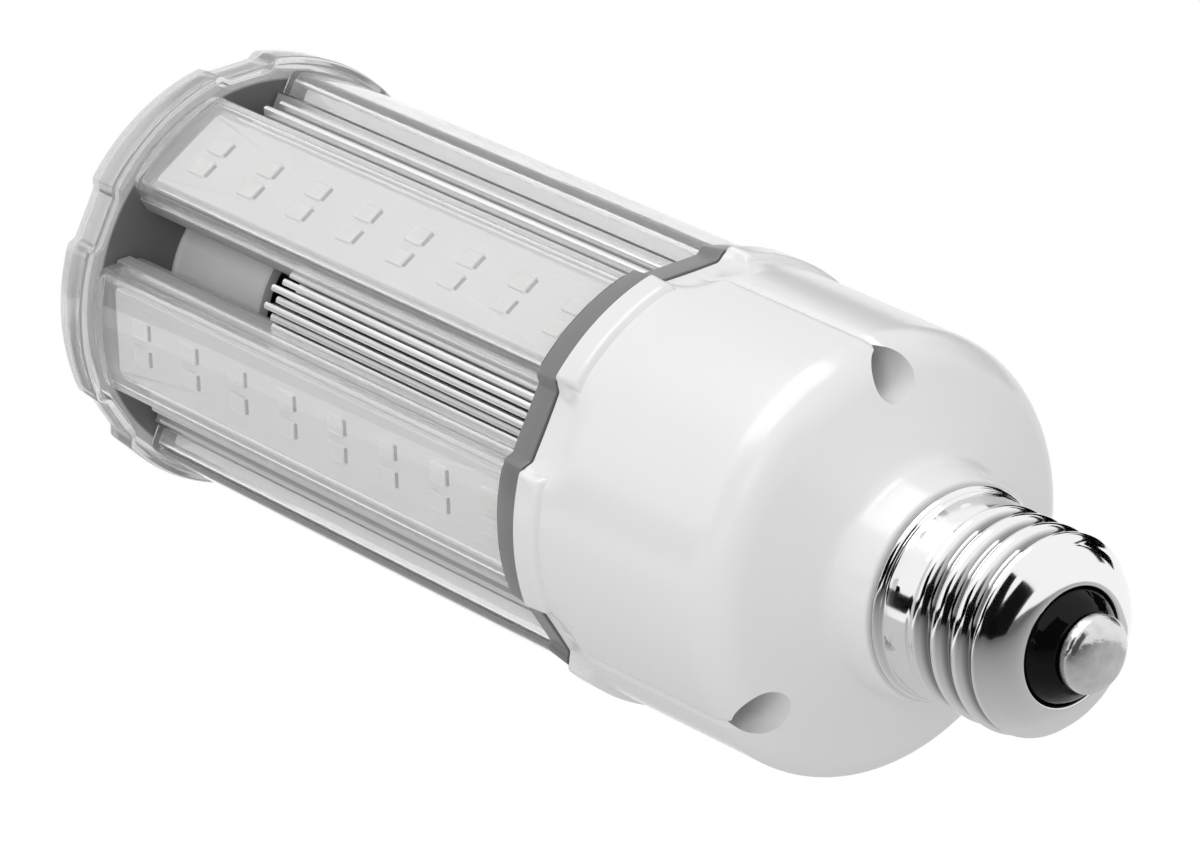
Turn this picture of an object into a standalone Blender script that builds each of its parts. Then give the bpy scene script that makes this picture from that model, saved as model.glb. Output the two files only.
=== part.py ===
# LED post top lamp with a medium screw base: six LED panels round a finned
# heat sink, a white driver housing and a screw shell.
# Metres, +Z up. The lamp stands on its flat clear head, with the screw base
# at the top. The origin is the middle of the head's outer face, and every
# height below is measured from that face.

import math

import bmesh
import bpy
from mathutils import Matrix

# Clearances and drawing aids
SEAT_GAP = 0.0003
CUT_OVERRUN = 0.002
JOIN_OVERLAP = 0.0002
MERGE_DISTANCE = 0.000001
SMOOTH_ANGLE = math.radians(32)

# Panels and lobes, shared by the cap, the collar and the housing
PANEL_COUNT = 6
PANEL_PITCH = 2 * math.pi / PANEL_COUNT
LOBE_HALF_ANGLE = math.radians(18.2)
CAP_LOBE_HALF_ANGLE = math.radians(20.6)
LOBE_STEP_ANGLE = math.radians(2.6)
LOBE_POINTS = 4
GAP_DEPTH_SHARES = (0.8, 1.0, 0.8)

# White housing's body, from which every other radius round the axis is measured
HOUSING_RADIUS = 0.0291

# Clear end cap
CAP_MOUTH_PROUD = 0.0012
CAP_FLARE = 0.0005
CAP_HEIGHT = 0.0057
CAP_FACE = 0.0012
CAP_WALL = 0.0012
CAP_GAP_DEPTH = 0.0010
CAP_NUB_WIDTH = 0.0016
CAP_NUB_HEIGHT = 0.0030
CAP_NUB_PROUD = 0.0003

# Side LED boards
BOARD_DEPTH = 0.00295
BOARD_THICKNESS = 0.0016
BOARD_WIDTH = 0.0122
LED_COUNT = 8
LED_FIRST = 0.0144
LED_PITCH = 0.01064
LED_ROW_SPACING = 0.0037
LED_LENGTH = 0.0035
LED_WIDTH = 0.0028
LED_HEIGHT = 0.0008

# Clear panel covers
COVER_INSET = 0.0005
COVER_THICKNESS = 0.0015
COVER_HALF_ANGLE = math.radians(17.8)
COVER_CORNER_ANGLE = math.radians(1.3)
COVER_CORNER_DROP = 0.0004
COVER_FOOT_WIDTH_SHARE = 0.3605
COVER_FOOT_WALL = 0.0013
COVER_ARC_POINTS = 7
COVER_END_WALL = 0.0012
BOARD_SETBACK = 0.0018

# Heat sink extrusion
SLAB_THICKNESS = 0.00215
SLAB_WIDTH_SHARE = 0.3646
CORE_PROUD = 0.0003
CORE_WALL = 0.0020
CORE_POINTS_PER_PANEL = 5
FIN_THICKNESS = 0.0006
FIN_PITCH_SHARE = 0.324
FIN_INSET = 0.0027
FIN_TIP_DROPS = (0.0034, 0.0, 0.0034, 0.0, 0.0034)
FIN_START_GAP = 0.0010
WINDOW_END = 0.0383
WINDOW_SIDE_GAP = 0.0001
HEAT_SINK_TAIL = 0.0060
HEAT_SINK_SPIGOT_INSET = 0.0061

# End plate with its inner tube, and the end LED board
END_PLATE_THICKNESS = 0.0015
END_TUBE_INSET = 0.0052
END_TUBE_WALL = 0.0012
END_TUBE_TOP = 0.0245
END_BOARD_THICKNESS = 0.0016
END_BOARD_INSET = 0.0018
END_LED_HEIGHT = 0.0006
END_LED_GAP = 0.0002
END_LED_COUNT = 6
END_LED_RING_SHARE = 0.64
END_LED_CENTRE_COUNT = 1
WIRE_HOLE_RADIUS = 0.0035

# Grey collar
COLLAR_START = 0.0930
COLLAR_HEIGHT = 0.0041
COLLAR_HEAD_PROUD = 0.0002
COLLAR_BASE_PROUD = 0.0002
COLLAR_GAP_DEPTH = 0.0015

# White housing
HOUSING_DRAFT = 0.0001
HOUSING_WALL = 0.0020
PAD_PROUD = 0.0009
PAD_LENGTH = 0.0041
PAD_EDGE = 0.0005
PAD_END_DEPTH_SHARES = (0.45, 0.4)
RIM_EASE_SHARES = (0.75, 0.1)
RIM_GAP_DEPTH = 0.0017
RIM_BLEND_LENGTH = 0.0085
BODY_LENGTH = 0.03225
SHOULDER_ROUND = 0.0065
SHOULDER_TURN = math.radians(68)
SHOULDER_STEPS = 5
NECK_ROOT_RADIUS = 0.0150
SHOULDER_RISE = 0.0100
NECK_FILLET = 0.0006
NECK_TOP_RADIUS = 0.0143
NECK_LENGTH = 0.00595
NECK_EDGE = 0.0004
SPIGOT_RADIUS = 0.0124
SPIGOT_LENGTH = 0.0058
SPIGOT_BORE_RADIUS = 0.0104

# Housing screws, in deep counterbores
SCREW_COUNT = 3
SCREW_FIRST_ANGLE = math.radians(-30)
SCREW_CIRCLE_INSET = 0.0039
SCREW_BORE_RADIUS = 0.0031
SCREW_TUBE_RADIUS = 0.0040
SCREW_TUBE_SETBACK = 0.0057
SCREW_SEAT_THICKNESS = 0.0030
SCREW_HEAD_RADIUS = 0.0026
SCREW_HEAD_HEIGHT = 0.0020
SCREW_SHANK_RADIUS = 0.0014
SCREW_HOLE_RADIUS = 0.0017
SCREW_TIP_SETBACK = 0.0004
SCREW_SLOT_WIDTH = 0.0008
SCREW_SLOT_SHARE = 0.7
SCREW_SLOT_DEPTH = 0.0009

# Screw shell, medium base
THREAD_PITCH = 0.00363
THREAD_CREST_RADIUS = 0.01315
THREAD_DEPTH = 0.00085
SKIRT_LENGTH = 0.00565
THREAD_LENGTH = 0.01215
THREAD_CREST_OFFSET = 0.0011
THREAD_CREST_ANGLE = math.radians(24.4)
THREAD_ROWS = 14
SHELL_SHEET = 0.0003
SHELL_SEGMENTS = 24
SHELL_SKIRT_RADIUS = 0.01305
SHELL_RIM_RADIUS = 0.01385
SHELL_RIM_HEIGHT = 0.0011
SHELL_RIM_PEAK_SHARE = 0.4
THREAD_FADE_ROWS = (4, 3)
SHELL_MOUTH_RADIUS = 0.0078
SHELL_END_LENGTH = 0.0032
SHELL_END_SHARES = ((0.975, 0.02), (0.86, 0.36), (0.68, 0.62), (0.44, 0.84), (0.2, 0.965), (0.06, 1.0))

# Insulator and centre contact
INSULATOR_LIP_RADIUS = 0.0074
INSULATOR_DEPTH = 0.0040
INSULATOR_PROUD = 0.0023
INSULATOR_TOP_RADIUS = 0.0054
CONTACT_RADIUS = 0.0050
CONTACT_STEM_RADIUS = 0.0012
CONTACT_STEM_LENGTH = 0.0065
CONTACT_EDGE_HEIGHT = 0.0010
CONTACT_DOME_HEIGHT = 0.0018
CONTACT_FLAT_RADIUS = 0.0016

# Driver board and what stands on it
DRIVER_ANGLE = math.radians(120)
DRIVER_EDGE_GAP = 0.0010
DRIVER_THICKNESS = 0.0016
DRIVER_SETBACK = 0.0047
DRIVER_LENGTH = 0.0250
RAIL_THICKNESS = 0.0012
RAIL_REACH = 0.0040
TRANSFORMER_SIZE = (0.0150, 0.0125, 0.0160)
TRANSFORMER_SHARE = -0.077
TRANSFORMER_OFFSET = 0.0130
BOBBIN_MARGIN = 0.0016
INPUT_CAPACITOR_RADIUS = 0.0050
INPUT_CAPACITOR_LENGTH = 0.0140
INPUT_CAPACITOR_SHARE = 0.231
INPUT_CAPACITOR_OFFSET = 0.0120
OUTPUT_CAPACITOR_RADIUS = 0.0040
OUTPUT_CAPACITOR_LENGTH = 0.0120
OUTPUT_CAPACITOR_SHARE = -0.317
OUTPUT_CAPACITOR_OFFSET = 0.0060
FILM_CAPACITOR_SIZE = (0.0050, 0.0100, 0.0110)
FILM_CAPACITOR_GAP = 0.0010
FILM_CAPACITOR_OFFSET = 0.0120
RECTIFIER_SIZE = (0.0064, 0.0025, 0.0084)
RECTIFIER_GAP = 0.0018
RECTIFIER_OFFSET = 0.0190
INDUCTOR_RADIUS = 0.0045
INDUCTOR_LENGTH = 0.0080
INDUCTOR_SHARE = 0.0
INDUCTOR_OFFSET = 0.0065
CAPACITOR_EDGE = 0.0005
WIRE_RADIUS = 0.0006
LEAD_SPREAD = 0.0025
LEAD_WALL_GAP = 0.0023
LEAD_BEND = 0.0044

# Places worked out from the sizes above
CAP_MOUTH_RADIUS = HOUSING_RADIUS + CAP_MOUTH_PROUD
CAP_HEAD_RADIUS = CAP_MOUTH_RADIUS - CAP_FLARE
END_PLATE_RADIUS = CAP_HEAD_RADIUS - CAP_WALL - SEAT_GAP
END_BOARD_RADIUS = END_PLATE_RADIUS - END_BOARD_INSET
COVER_RADIUS = HOUSING_RADIUS - COVER_INSET
COLLAR_HEAD_RADIUS = COVER_RADIUS + COLLAR_HEAD_PROUD
COLLAR_BASE_RADIUS = HOUSING_RADIUS + COLLAR_BASE_PROUD
COLLAR_END = COLLAR_START + COLLAR_HEIGHT
BOARD_END = COLLAR_START - SEAT_GAP
HEAT_SINK_END = COLLAR_START + HEAT_SINK_TAIL
BOARD_FACE_DISTANCE = COVER_RADIUS - BOARD_DEPTH
BOARD_BACK_DISTANCE = BOARD_FACE_DISTANCE - BOARD_THICKNESS
SLAB_FACE_DISTANCE = BOARD_BACK_DISTANCE - SEAT_GAP
SLAB_BACK_DISTANCE = SLAB_FACE_DISTANCE - SLAB_THICKNESS
SLAB_HALF_WIDTH = SLAB_FACE_DISTANCE * SLAB_WIDTH_SHARE
GAP_HALF_WIDTH = (SLAB_BACK_DISTANCE * math.sin(PANEL_PITCH / 2)
                  - SLAB_HALF_WIDTH * math.cos(PANEL_PITCH / 2))
CORE_OUTER_RADIUS = SLAB_BACK_DISTANCE + CORE_PROUD
CORE_BORE_RADIUS = CORE_OUTER_RADIUS - CORE_WALL
FIN_TALL_RADIUS = COVER_RADIUS - FIN_INSET
FIN_PITCH_ANGLE = GAP_HALF_WIDTH * FIN_PITCH_SHARE / CORE_OUTER_RADIUS
HEAT_SINK_SPIGOT_RADIUS = COVER_RADIUS - HEAT_SINK_SPIGOT_INSET
COVER_FOOT_DISTANCE = SLAB_FACE_DISTANCE + SEAT_GAP
COVER_FOOT_HALF_WIDTH = COVER_FOOT_DISTANCE * COVER_FOOT_WIDTH_SHARE
COVER_END = COLLAR_START - SEAT_GAP
END_BOARD_START = CAP_FACE + END_LED_GAP + END_LED_HEIGHT
END_BOARD_END = END_BOARD_START + END_BOARD_THICKNESS
END_PLATE_START = END_BOARD_END + SEAT_GAP
END_PLATE_END = END_PLATE_START + END_PLATE_THICKNESS
COVER_START = END_PLATE_END + SEAT_GAP
SLAB_START = COVER_START
FIN_START = SLAB_START + FIN_START_GAP
BOARD_START = COVER_START + COVER_END_WALL + BOARD_SETBACK
END_TUBE_RADIUS = CORE_BORE_RADIUS - END_TUBE_INSET
SCREW_CIRCLE_RADIUS = HOUSING_RADIUS - SCREW_CIRCLE_INSET
DRIVER_WIDTH = 2 * (HOUSING_RADIUS - HOUSING_WALL - DRIVER_EDGE_GAP)
LEAD_OFFSET = END_TUBE_RADIUS - END_TUBE_WALL - LEAD_WALL_GAP
LEAD_STRAIGHT_START = END_TUBE_TOP + LEAD_BEND
LEAD_STRAIGHT_END = HEAT_SINK_END - LEAD_BEND
HOUSING_START = COLLAR_END + SEAT_GAP
SHOULDER_START = HOUSING_START + BODY_LENGTH
NECK_ROOT_HEIGHT = SHOULDER_START + SHOULDER_RISE
NECK_TOP = NECK_ROOT_HEIGHT + NECK_LENGTH
SCREW_TUBE_START = HOUSING_START + SCREW_TUBE_SETBACK
SCREW_SEAT_HEIGHT = SCREW_TUBE_START + SCREW_SEAT_THICKNESS
SCREW_TIP_HEIGHT = COLLAR_START + SCREW_TIP_SETBACK
DRIVER_START = HOUSING_START + DRIVER_SETBACK
DRIVER_END = DRIVER_START + DRIVER_LENGTH
SHELL_START = NECK_TOP + SEAT_GAP
THREAD_START = NECK_TOP + SKIRT_LENGTH
THREAD_END = THREAD_START + THREAD_LENGTH
THREAD_CREST_HEIGHT = THREAD_START + THREAD_CREST_OFFSET
SHELL_TOP = THREAD_END + SHELL_END_LENGTH
INSULATOR_TOP = SHELL_TOP + INSULATOR_PROUD
CONTACT_START = INSULATOR_TOP + SEAT_GAP

parts = bpy.data.collections.new("led_post_top_bulb")
cutters = bpy.data.collections.new("cutters")


def start_scene():
    for item in list(bpy.data.objects):
        bpy.data.objects.remove(item)
    bpy.context.scene.collection.children.link(parts)
    bpy.context.scene.collection.children.link(cutters)


def make_material(name, colour, roughness, metallic=0.0, transmission=0.0):
    material = bpy.data.materials.new(name)
    material.use_nodes = True
    shader = material.node_tree.nodes["Principled BSDF"]
    shader.inputs["Base Color"].default_value = (*colour, 1.0)
    shader.inputs["Roughness"].default_value = roughness
    shader.inputs["Metallic"].default_value = metallic
    shader.inputs["Transmission Weight"].default_value = transmission
    material.diffuse_color = (*colour, 1.0)
    return material


def add_part(name, mesh, material, turn=0.0):
    """Link a mesh as a named sub-part, turned about the lamp's axis."""
    item = bpy.data.objects.new(name, mesh)
    item.rotation_euler = (0, 0, turn)
    if not mesh.materials:
        mesh.materials.append(material)
    mesh.shade_smooth()
    mesh.set_sharp_from_angle(angle=SMOOTH_ANGLE)
    parts.objects.link(item)
    return item


def add_cutter(name, mesh, turn=0.0):
    item = bpy.data.objects.new(name, mesh)
    item.rotation_euler = (0, 0, turn)
    item.hide_render = True
    item.display_type = "WIRE"
    cutters.objects.link(item)
    return item


def boolean(item, tool, operation):
    modifier = item.modifiers.new(operation.lower() + "_" + tool.name, "BOOLEAN")
    modifier.object = tool
    modifier.operation = operation
    modifier.solver = "EXACT"
    return modifier


def mesh_from(name, work):
    mesh = bpy.data.meshes.new(name)
    work.to_mesh(mesh)
    work.free()
    return mesh


def block(name, size, centre):
    """A box of the given size, centred on a point."""
    work = bmesh.new()
    place = Matrix.Translation(centre) @ Matrix.Diagonal((*size, 1.0))
    bmesh.ops.create_cube(work, size=1.0, matrix=place)
    return mesh_from(name, work)


def blocks(name, size, centres):
    """Equal boxes in one mesh, one at each centre."""
    work = bmesh.new()
    for centre in centres:
        place = Matrix.Translation(centre) @ Matrix.Diagonal((*size, 1.0))
        bmesh.ops.create_cube(work, size=1.0, matrix=place)
    return mesh_from(name, work)


def rod(name, radius, start, end, segments, centre=(0.0, 0.0)):
    """An upright cylinder between two heights."""
    work = bmesh.new()
    place = Matrix.Translation((centre[0], centre[1], (start + end) / 2))
    bmesh.ops.create_cone(work, cap_ends=True, segments=segments, radius1=radius,
                          radius2=radius, depth=end - start, matrix=place)
    return mesh_from(name, work)


def turned(name, profile, segments, material, closed=False):
    """Turn a profile of (radius, height) points about the lamp's axis."""
    work = bmesh.new()
    points = [work.verts.new((radius, 0, height)) for radius, height in profile]
    for first, second in zip(points, points[1:]):
        work.edges.new((first, second))
    if closed:
        work.edges.new((points[-1], points[0]))
    item = bpy.data.objects.new(name, mesh_from(name, work))
    item.data.materials.append(material)
    screw = item.modifiers.new("turn", "SCREW")
    screw.steps = segments
    screw.render_steps = segments
    screw.use_merge_vertices = True
    screw.merge_threshold = MERGE_DISTANCE
    screw.use_smooth_shade = True
    parts.objects.link(item)
    return item


def extruded(name, loops, start, end):
    """A flat outline with its holes, extruded between two heights, as a closed mesh."""
    curve = bpy.data.curves.new(name, "CURVE")
    curve.dimensions = "2D"
    curve.fill_mode = "BOTH"
    curve.extrude = (end - start) / 2
    for loop in loops:
        spline = curve.splines.new("POLY")
        spline.points.add(len(loop) - 1)
        for point, (x, y) in zip(spline.points, loop):
            point.co = (x, y, 0, 1)
        spline.use_cyclic_u = True
    carrier = bpy.data.objects.new(name + "_curve", curve)
    bpy.context.scene.collection.objects.link(carrier)
    graph = bpy.context.evaluated_depsgraph_get()
    mesh = bpy.data.meshes.new_from_object(carrier.evaluated_get(graph))
    bpy.data.objects.remove(carrier)
    work = bmesh.new()
    work.from_mesh(mesh)
    bmesh.ops.remove_doubles(work, verts=work.verts, dist=MERGE_DISTANCE)
    bmesh.ops.recalc_face_normals(work, faces=work.faces)
    bmesh.ops.translate(work, verts=work.verts, vec=(0, 0, (start + end) / 2))
    work.to_mesh(mesh)
    work.free()
    mesh.materials.clear()
    mesh.name = name
    return mesh


def polar(radius, angle):
    return radius * math.cos(angle), radius * math.sin(angle)


def arc(radius, start, end, count):
    """Points along an arc about the axis, both ends included."""
    return [polar(radius, start + (end - start) * step / (count - 1)) for step in range(count)]


def circle(radius, count):
    return [polar(radius, 2 * math.pi * step / count) for step in range(count)]


def lobe_angles(lobe_half):
    """The angle of every outline point, and its share of the gap's depth."""
    rows = []
    gap_half = PANEL_PITCH / 2 - lobe_half - LOBE_STEP_ANGLE
    for panel in range(PANEL_COUNT):
        middle = panel * PANEL_PITCH
        for step in range(LOBE_POINTS):
            turn = lobe_half * (2 * step / (LOBE_POINTS - 1) - 1)
            rows.append((middle + turn, 0.0))
        for step, share in enumerate(GAP_DEPTH_SHARES):
            turn = gap_half * (2 * step / (len(GAP_DEPTH_SHARES) - 1) - 1)
            rows.append((middle + PANEL_PITCH / 2 + turn, share))
    return rows


def lobed_ring(height, radius, depth, lobe_half=LOBE_HALF_ANGLE):
    """An outline with a lobe at each panel, and gaps that lie depth further in."""
    return [(*polar(radius - depth * share, angle), height) for angle, share in lobe_angles(lobe_half)]


def round_ring(height, radius):
    return lobed_ring(height, radius, 0.0)


def loft(name, rings, closed):
    """Faces between rings of equal length, run round in a loop or capped at both ends."""
    work = bmesh.new()
    rows = [[work.verts.new(point) for point in ring] for ring in rings]
    pairs = list(zip(rows, rows[1:]))
    if closed:
        pairs.append((rows[-1], rows[0]))
    for low, high in pairs:
        for index in range(len(low)):
            after = (index + 1) % len(low)
            work.faces.new((low[index], low[after], high[after], high[index]))
    if not closed:
        work.faces.new(list(reversed(rows[0])))
        work.faces.new(rows[-1])
    bmesh.ops.recalc_face_normals(work, faces=work.faces)
    return mesh_from(name, work)


def make_heat_sink(material):
    """One extrusion: a tubular core, six panel slabs and a fan of fins in each gap."""
    outline = []
    fin_root_half = FIN_THICKNESS / 2 / CORE_OUTER_RADIUS
    slab_root = math.acos(SLAB_BACK_DISTANCE / CORE_OUTER_RADIUS)
    for panel in range(PANEL_COUNT):
        middle = panel * PANEL_PITCH
        turn = Matrix.Rotation(middle, 2)
        inner_reach = SLAB_BACK_DISTANCE * math.tan(slab_root)
        for x, y in ((SLAB_BACK_DISTANCE, -inner_reach), (SLAB_BACK_DISTANCE, -SLAB_HALF_WIDTH),
                     (SLAB_FACE_DISTANCE, -SLAB_HALF_WIDTH), (SLAB_FACE_DISTANCE, SLAB_HALF_WIDTH),
                     (SLAB_BACK_DISTANCE, SLAB_HALF_WIDTH), (SLAB_BACK_DISTANCE, inner_reach)):
            outline.append((x * turn[0][0] + y * turn[0][1], x * turn[1][0] + y * turn[1][1]))
        for index, drop in enumerate(FIN_TIP_DROPS):
            place = index - (len(FIN_TIP_DROPS) - 1) / 2
            angle = middle + PANEL_PITCH / 2 + place * FIN_PITCH_ANGLE
            tip = FIN_TALL_RADIUS - drop
            tip_half = FIN_THICKNESS / 2 / tip
            outline.append(polar(CORE_OUTER_RADIUS, angle - fin_root_half))
            outline.append(polar(tip, angle - tip_half))
            outline.append(polar(tip, angle + tip_half))
            outline.append(polar(CORE_OUTER_RADIUS, angle + fin_root_half))
    bore = circle(CORE_BORE_RADIUS, CORE_POINTS_PER_PANEL * PANEL_COUNT)
    mesh = extruded("heat_sink", [outline, bore], SLAB_START, HEAT_SINK_END)
    sink = add_part("heat_sink", mesh, material)
    reach = FIN_TALL_RADIUS + CUT_OVERRUN - CORE_BORE_RADIUS + CUT_OVERRUN
    for panel in range(PANEL_COUNT):
        end = WINDOW_END if panel == 0 else FIN_START
        size = (reach, 2 * (GAP_HALF_WIDTH - WINDOW_SIDE_GAP), end + CUT_OVERRUN)
        centre = (CORE_BORE_RADIUS - CUT_OVERRUN + reach / 2, 0, (end - CUT_OVERRUN) / 2)
        tool = add_cutter(f"fin_cut_{panel + 1}", block("fin_cut", size, centre),
                          (panel + 0.5) * PANEL_PITCH)
        boolean(sink, tool, "DIFFERENCE")
    count = CORE_POINTS_PER_PANEL * PANEL_COUNT * 2
    ring = extruded("spigot_cut", [circle(FIN_TALL_RADIUS + CUT_OVERRUN, count),
                                   circle(HEAT_SINK_SPIGOT_RADIUS, count)],
                    COLLAR_START - SEAT_GAP, HEAT_SINK_END + CUT_OVERRUN)
    boolean(sink, add_cutter("spigot_cut", ring), "DIFFERENCE")
    return sink


def make_led_boards(material):
    """Aluminium-backed boards with two rows of LED packages, one on each slab."""
    length = BOARD_END - BOARD_START
    base = block("led_board", (BOARD_THICKNESS, BOARD_WIDTH, length),
                 (BOARD_FACE_DISTANCE - BOARD_THICKNESS / 2, 0, BOARD_START + length / 2))
    centres = []
    for index in range(LED_COUNT):
        for side in (-1, 1):
            centres.append((BOARD_FACE_DISTANCE + (LED_HEIGHT - JOIN_OVERLAP) / 2,
                            side * LED_ROW_SPACING / 2, LED_FIRST + index * LED_PITCH))
    leds = blocks("led_packages", (LED_HEIGHT + JOIN_OVERLAP, LED_WIDTH, LED_LENGTH), centres)
    for panel in range(PANEL_COUNT):
        turn = panel * PANEL_PITCH
        board = add_part(f"led_board_{panel + 1}", base, material, turn)
        boolean(board, add_cutter(f"led_packages_{panel + 1}", leds, turn), "UNION")


def cover_outline(radius, half_angle, corner_drop, foot_half_width, foot_distance):
    """Feet, side walls, eased corners and the curved face of a cover's section."""
    face = half_angle - COVER_CORNER_ANGLE
    outline = [(foot_distance, -foot_half_width), polar(radius - corner_drop, -half_angle)]
    outline += arc(radius, -face, face, COVER_ARC_POINTS)
    outline += [polar(radius - corner_drop, half_angle), (foot_distance, foot_half_width)]
    return outline


def make_panel_covers(material):
    """Clear moulded troughs: a curved face, two side walls and a wall at the head end."""
    foot = COVER_FOOT_DISTANCE
    outer = cover_outline(COVER_RADIUS, COVER_HALF_ANGLE, COVER_CORNER_DROP,
                          COVER_FOOT_HALF_WIDTH, foot)
    inner_radius = COVER_RADIUS - COVER_THICKNESS
    wall_angle = COVER_FOOT_WALL / inner_radius
    inner = cover_outline(inner_radius, COVER_HALF_ANGLE - wall_angle, COVER_CORNER_DROP,
                          COVER_FOOT_HALF_WIDTH - COVER_FOOT_WALL, foot)
    inner[0] = (foot - CUT_OVERRUN, inner[0][1])
    inner[-1] = (foot - CUT_OVERRUN, inner[-1][1])
    body = extruded("panel_cover", [outer], COVER_START, COVER_END)
    hollow = extruded("cover_hollow", [inner], COVER_START + COVER_END_WALL, COVER_END + CUT_OVERRUN)
    for panel in range(PANEL_COUNT):
        turn = panel * PANEL_PITCH
        cover = add_part(f"panel_cover_{panel + 1}", body, material, turn)
        boolean(cover, add_cutter(f"cover_hollow_{panel + 1}", hollow, turn), "DIFFERENCE")


def make_end_plate(material):
    """Grey lobed plate inside the cap, with a tube that stands in the heat sink's bore."""
    rings = [lobed_ring(END_PLATE_START, END_PLATE_RADIUS, CAP_GAP_DEPTH, CAP_LOBE_HALF_ANGLE),
             lobed_ring(END_PLATE_END, END_PLATE_RADIUS, CAP_GAP_DEPTH, CAP_LOBE_HALF_ANGLE)]
    plate = add_part("end_plate", loft("end_plate", rings, closed=False), material)
    hole = rod("wire_hole", WIRE_HOLE_RADIUS, END_PLATE_START - CUT_OVERRUN, END_PLATE_END + CUT_OVERRUN, 9)
    boolean(plate, add_cutter("wire_hole", hole), "DIFFERENCE")
    tube = extruded("end_tube", [circle(END_TUBE_RADIUS, 24), circle(END_TUBE_RADIUS - END_TUBE_WALL, 24)],
                    END_PLATE_END - JOIN_OVERLAP, END_TUBE_TOP)
    boolean(plate, add_cutter("end_tube", tube), "UNION")


def make_end_led_board(material):
    """Round board under the clear cap, with its LED packages facing out of the head."""
    disc = extruded("end_led_board", [circle(END_BOARD_RADIUS, 30)], END_BOARD_START, END_BOARD_END)
    board = add_part("end_led_board", disc, material)
    centres = []
    for index in range(END_LED_COUNT):
        x, y = polar(END_BOARD_RADIUS * END_LED_RING_SHARE, 2 * math.pi * index / END_LED_COUNT)
        centres.append((x, y, END_BOARD_START + (JOIN_OVERLAP - END_LED_HEIGHT) / 2))
    for index in range(END_LED_CENTRE_COUNT):
        centres.append((0, 0, END_BOARD_START + (JOIN_OVERLAP - END_LED_HEIGHT) / 2))
    leds = blocks("end_leds", (LED_LENGTH, LED_WIDTH, END_LED_HEIGHT + JOIN_OVERLAP), centres)
    boolean(board, add_cutter("end_leds", leds), "UNION")


def make_end_cap(material):
    """Clear moulded cap: a flat head face and a lobed rim that widens towards its mouth."""
    inner_head = CAP_HEAD_RADIUS - CAP_WALL
    inner_mouth = CAP_MOUTH_RADIUS - CAP_WALL
    rings = [lobed_ring(height, radius, CAP_GAP_DEPTH, CAP_LOBE_HALF_ANGLE)
             for height, radius in ((0, CAP_HEAD_RADIUS), (CAP_HEIGHT, CAP_MOUTH_RADIUS),
                                    (CAP_HEIGHT, inner_mouth), (CAP_FACE, inner_head))]
    cap = add_part("end_cap", loft("end_cap", rings, closed=False), material)
    reach = CAP_WALL / 2 + CAP_NUB_PROUD
    size = (reach, CAP_NUB_WIDTH, CAP_NUB_HEIGHT)
    centre = (CAP_HEAD_RADIUS - CAP_WALL / 2 + reach / 2, 0, CAP_HEIGHT / 2)
    for panel in range(PANEL_COUNT):
        nub = add_cutter(f"cap_nub_{panel + 1}", block("cap_nub", size, centre), panel * PANEL_PITCH)
        boolean(cap, nub, "UNION")


def screw_angles():
    return [SCREW_FIRST_ANGLE + 2 * math.pi * index / SCREW_COUNT for index in range(SCREW_COUNT)]


def make_collar(material):
    """Grey ring between the panels and the housing, on the heat sink's spigot."""
    inner = HEAT_SINK_SPIGOT_RADIUS + SEAT_GAP
    rings = [lobed_ring(COLLAR_START, COLLAR_HEAD_RADIUS, COLLAR_GAP_DEPTH),
             lobed_ring(COLLAR_END, COLLAR_BASE_RADIUS, COLLAR_GAP_DEPTH),
             round_ring(COLLAR_END, inner),
             round_ring(COLLAR_START, inner)]
    collar = add_part("collar", loft("collar", rings, closed=True), material)
    for index, angle in enumerate(screw_angles()):
        pilot = rod("collar_pilot", SCREW_HOLE_RADIUS - SEAT_GAP / 2, COLLAR_START - CUT_OVERRUN,
                    COLLAR_END + CUT_OVERRUN, 9, (SCREW_CIRCLE_RADIUS, 0))
        boolean(collar, add_cutter(f"collar_pilot_{index + 1}", pilot, angle), "DIFFERENCE")


def housing_outer_rings():
    """Rim with raised pads, drafted body, rounded shoulder, cone, neck and spigot."""
    pad_radius = HOUSING_RADIUS + PAD_PROUD
    pad_end = HOUSING_START + PAD_LENGTH
    rings = [lobed_ring(HOUSING_START, pad_radius - PAD_EDGE, RIM_GAP_DEPTH + PAD_PROUD - PAD_EDGE),
             lobed_ring(HOUSING_START + PAD_EDGE, pad_radius, RIM_GAP_DEPTH + PAD_PROUD),
             lobed_ring(pad_end - PAD_EDGE, pad_radius, RIM_GAP_DEPTH * PAD_END_DEPTH_SHARES[0] + PAD_PROUD),
             lobed_ring(pad_end, HOUSING_RADIUS, RIM_GAP_DEPTH * PAD_END_DEPTH_SHARES[1]),
             lobed_ring(HOUSING_START + RIM_BLEND_LENGTH * RIM_EASE_SHARES[0], HOUSING_RADIUS,
                        RIM_GAP_DEPTH * RIM_EASE_SHARES[1]),
             round_ring(HOUSING_START + RIM_BLEND_LENGTH, HOUSING_RADIUS)]
    body_end = HOUSING_RADIUS - HOUSING_DRAFT
    for step in range(SHOULDER_STEPS + 1):
        turn = SHOULDER_TURN * step / SHOULDER_STEPS
        rings.append(round_ring(SHOULDER_START + SHOULDER_ROUND * math.sin(turn),
                                body_end - SHOULDER_ROUND * (1 - math.cos(turn))))
    rings += [round_ring(NECK_ROOT_HEIGHT - NECK_FILLET, NECK_ROOT_RADIUS + 2 * NECK_FILLET),
              round_ring(NECK_ROOT_HEIGHT, NECK_ROOT_RADIUS),
              round_ring(NECK_TOP - NECK_EDGE, NECK_TOP_RADIUS),
              round_ring(NECK_TOP, NECK_TOP_RADIUS - NECK_EDGE),
              round_ring(NECK_TOP, SPIGOT_RADIUS),
              round_ring(NECK_TOP + SPIGOT_LENGTH, SPIGOT_RADIUS)]
    return rings


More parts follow.
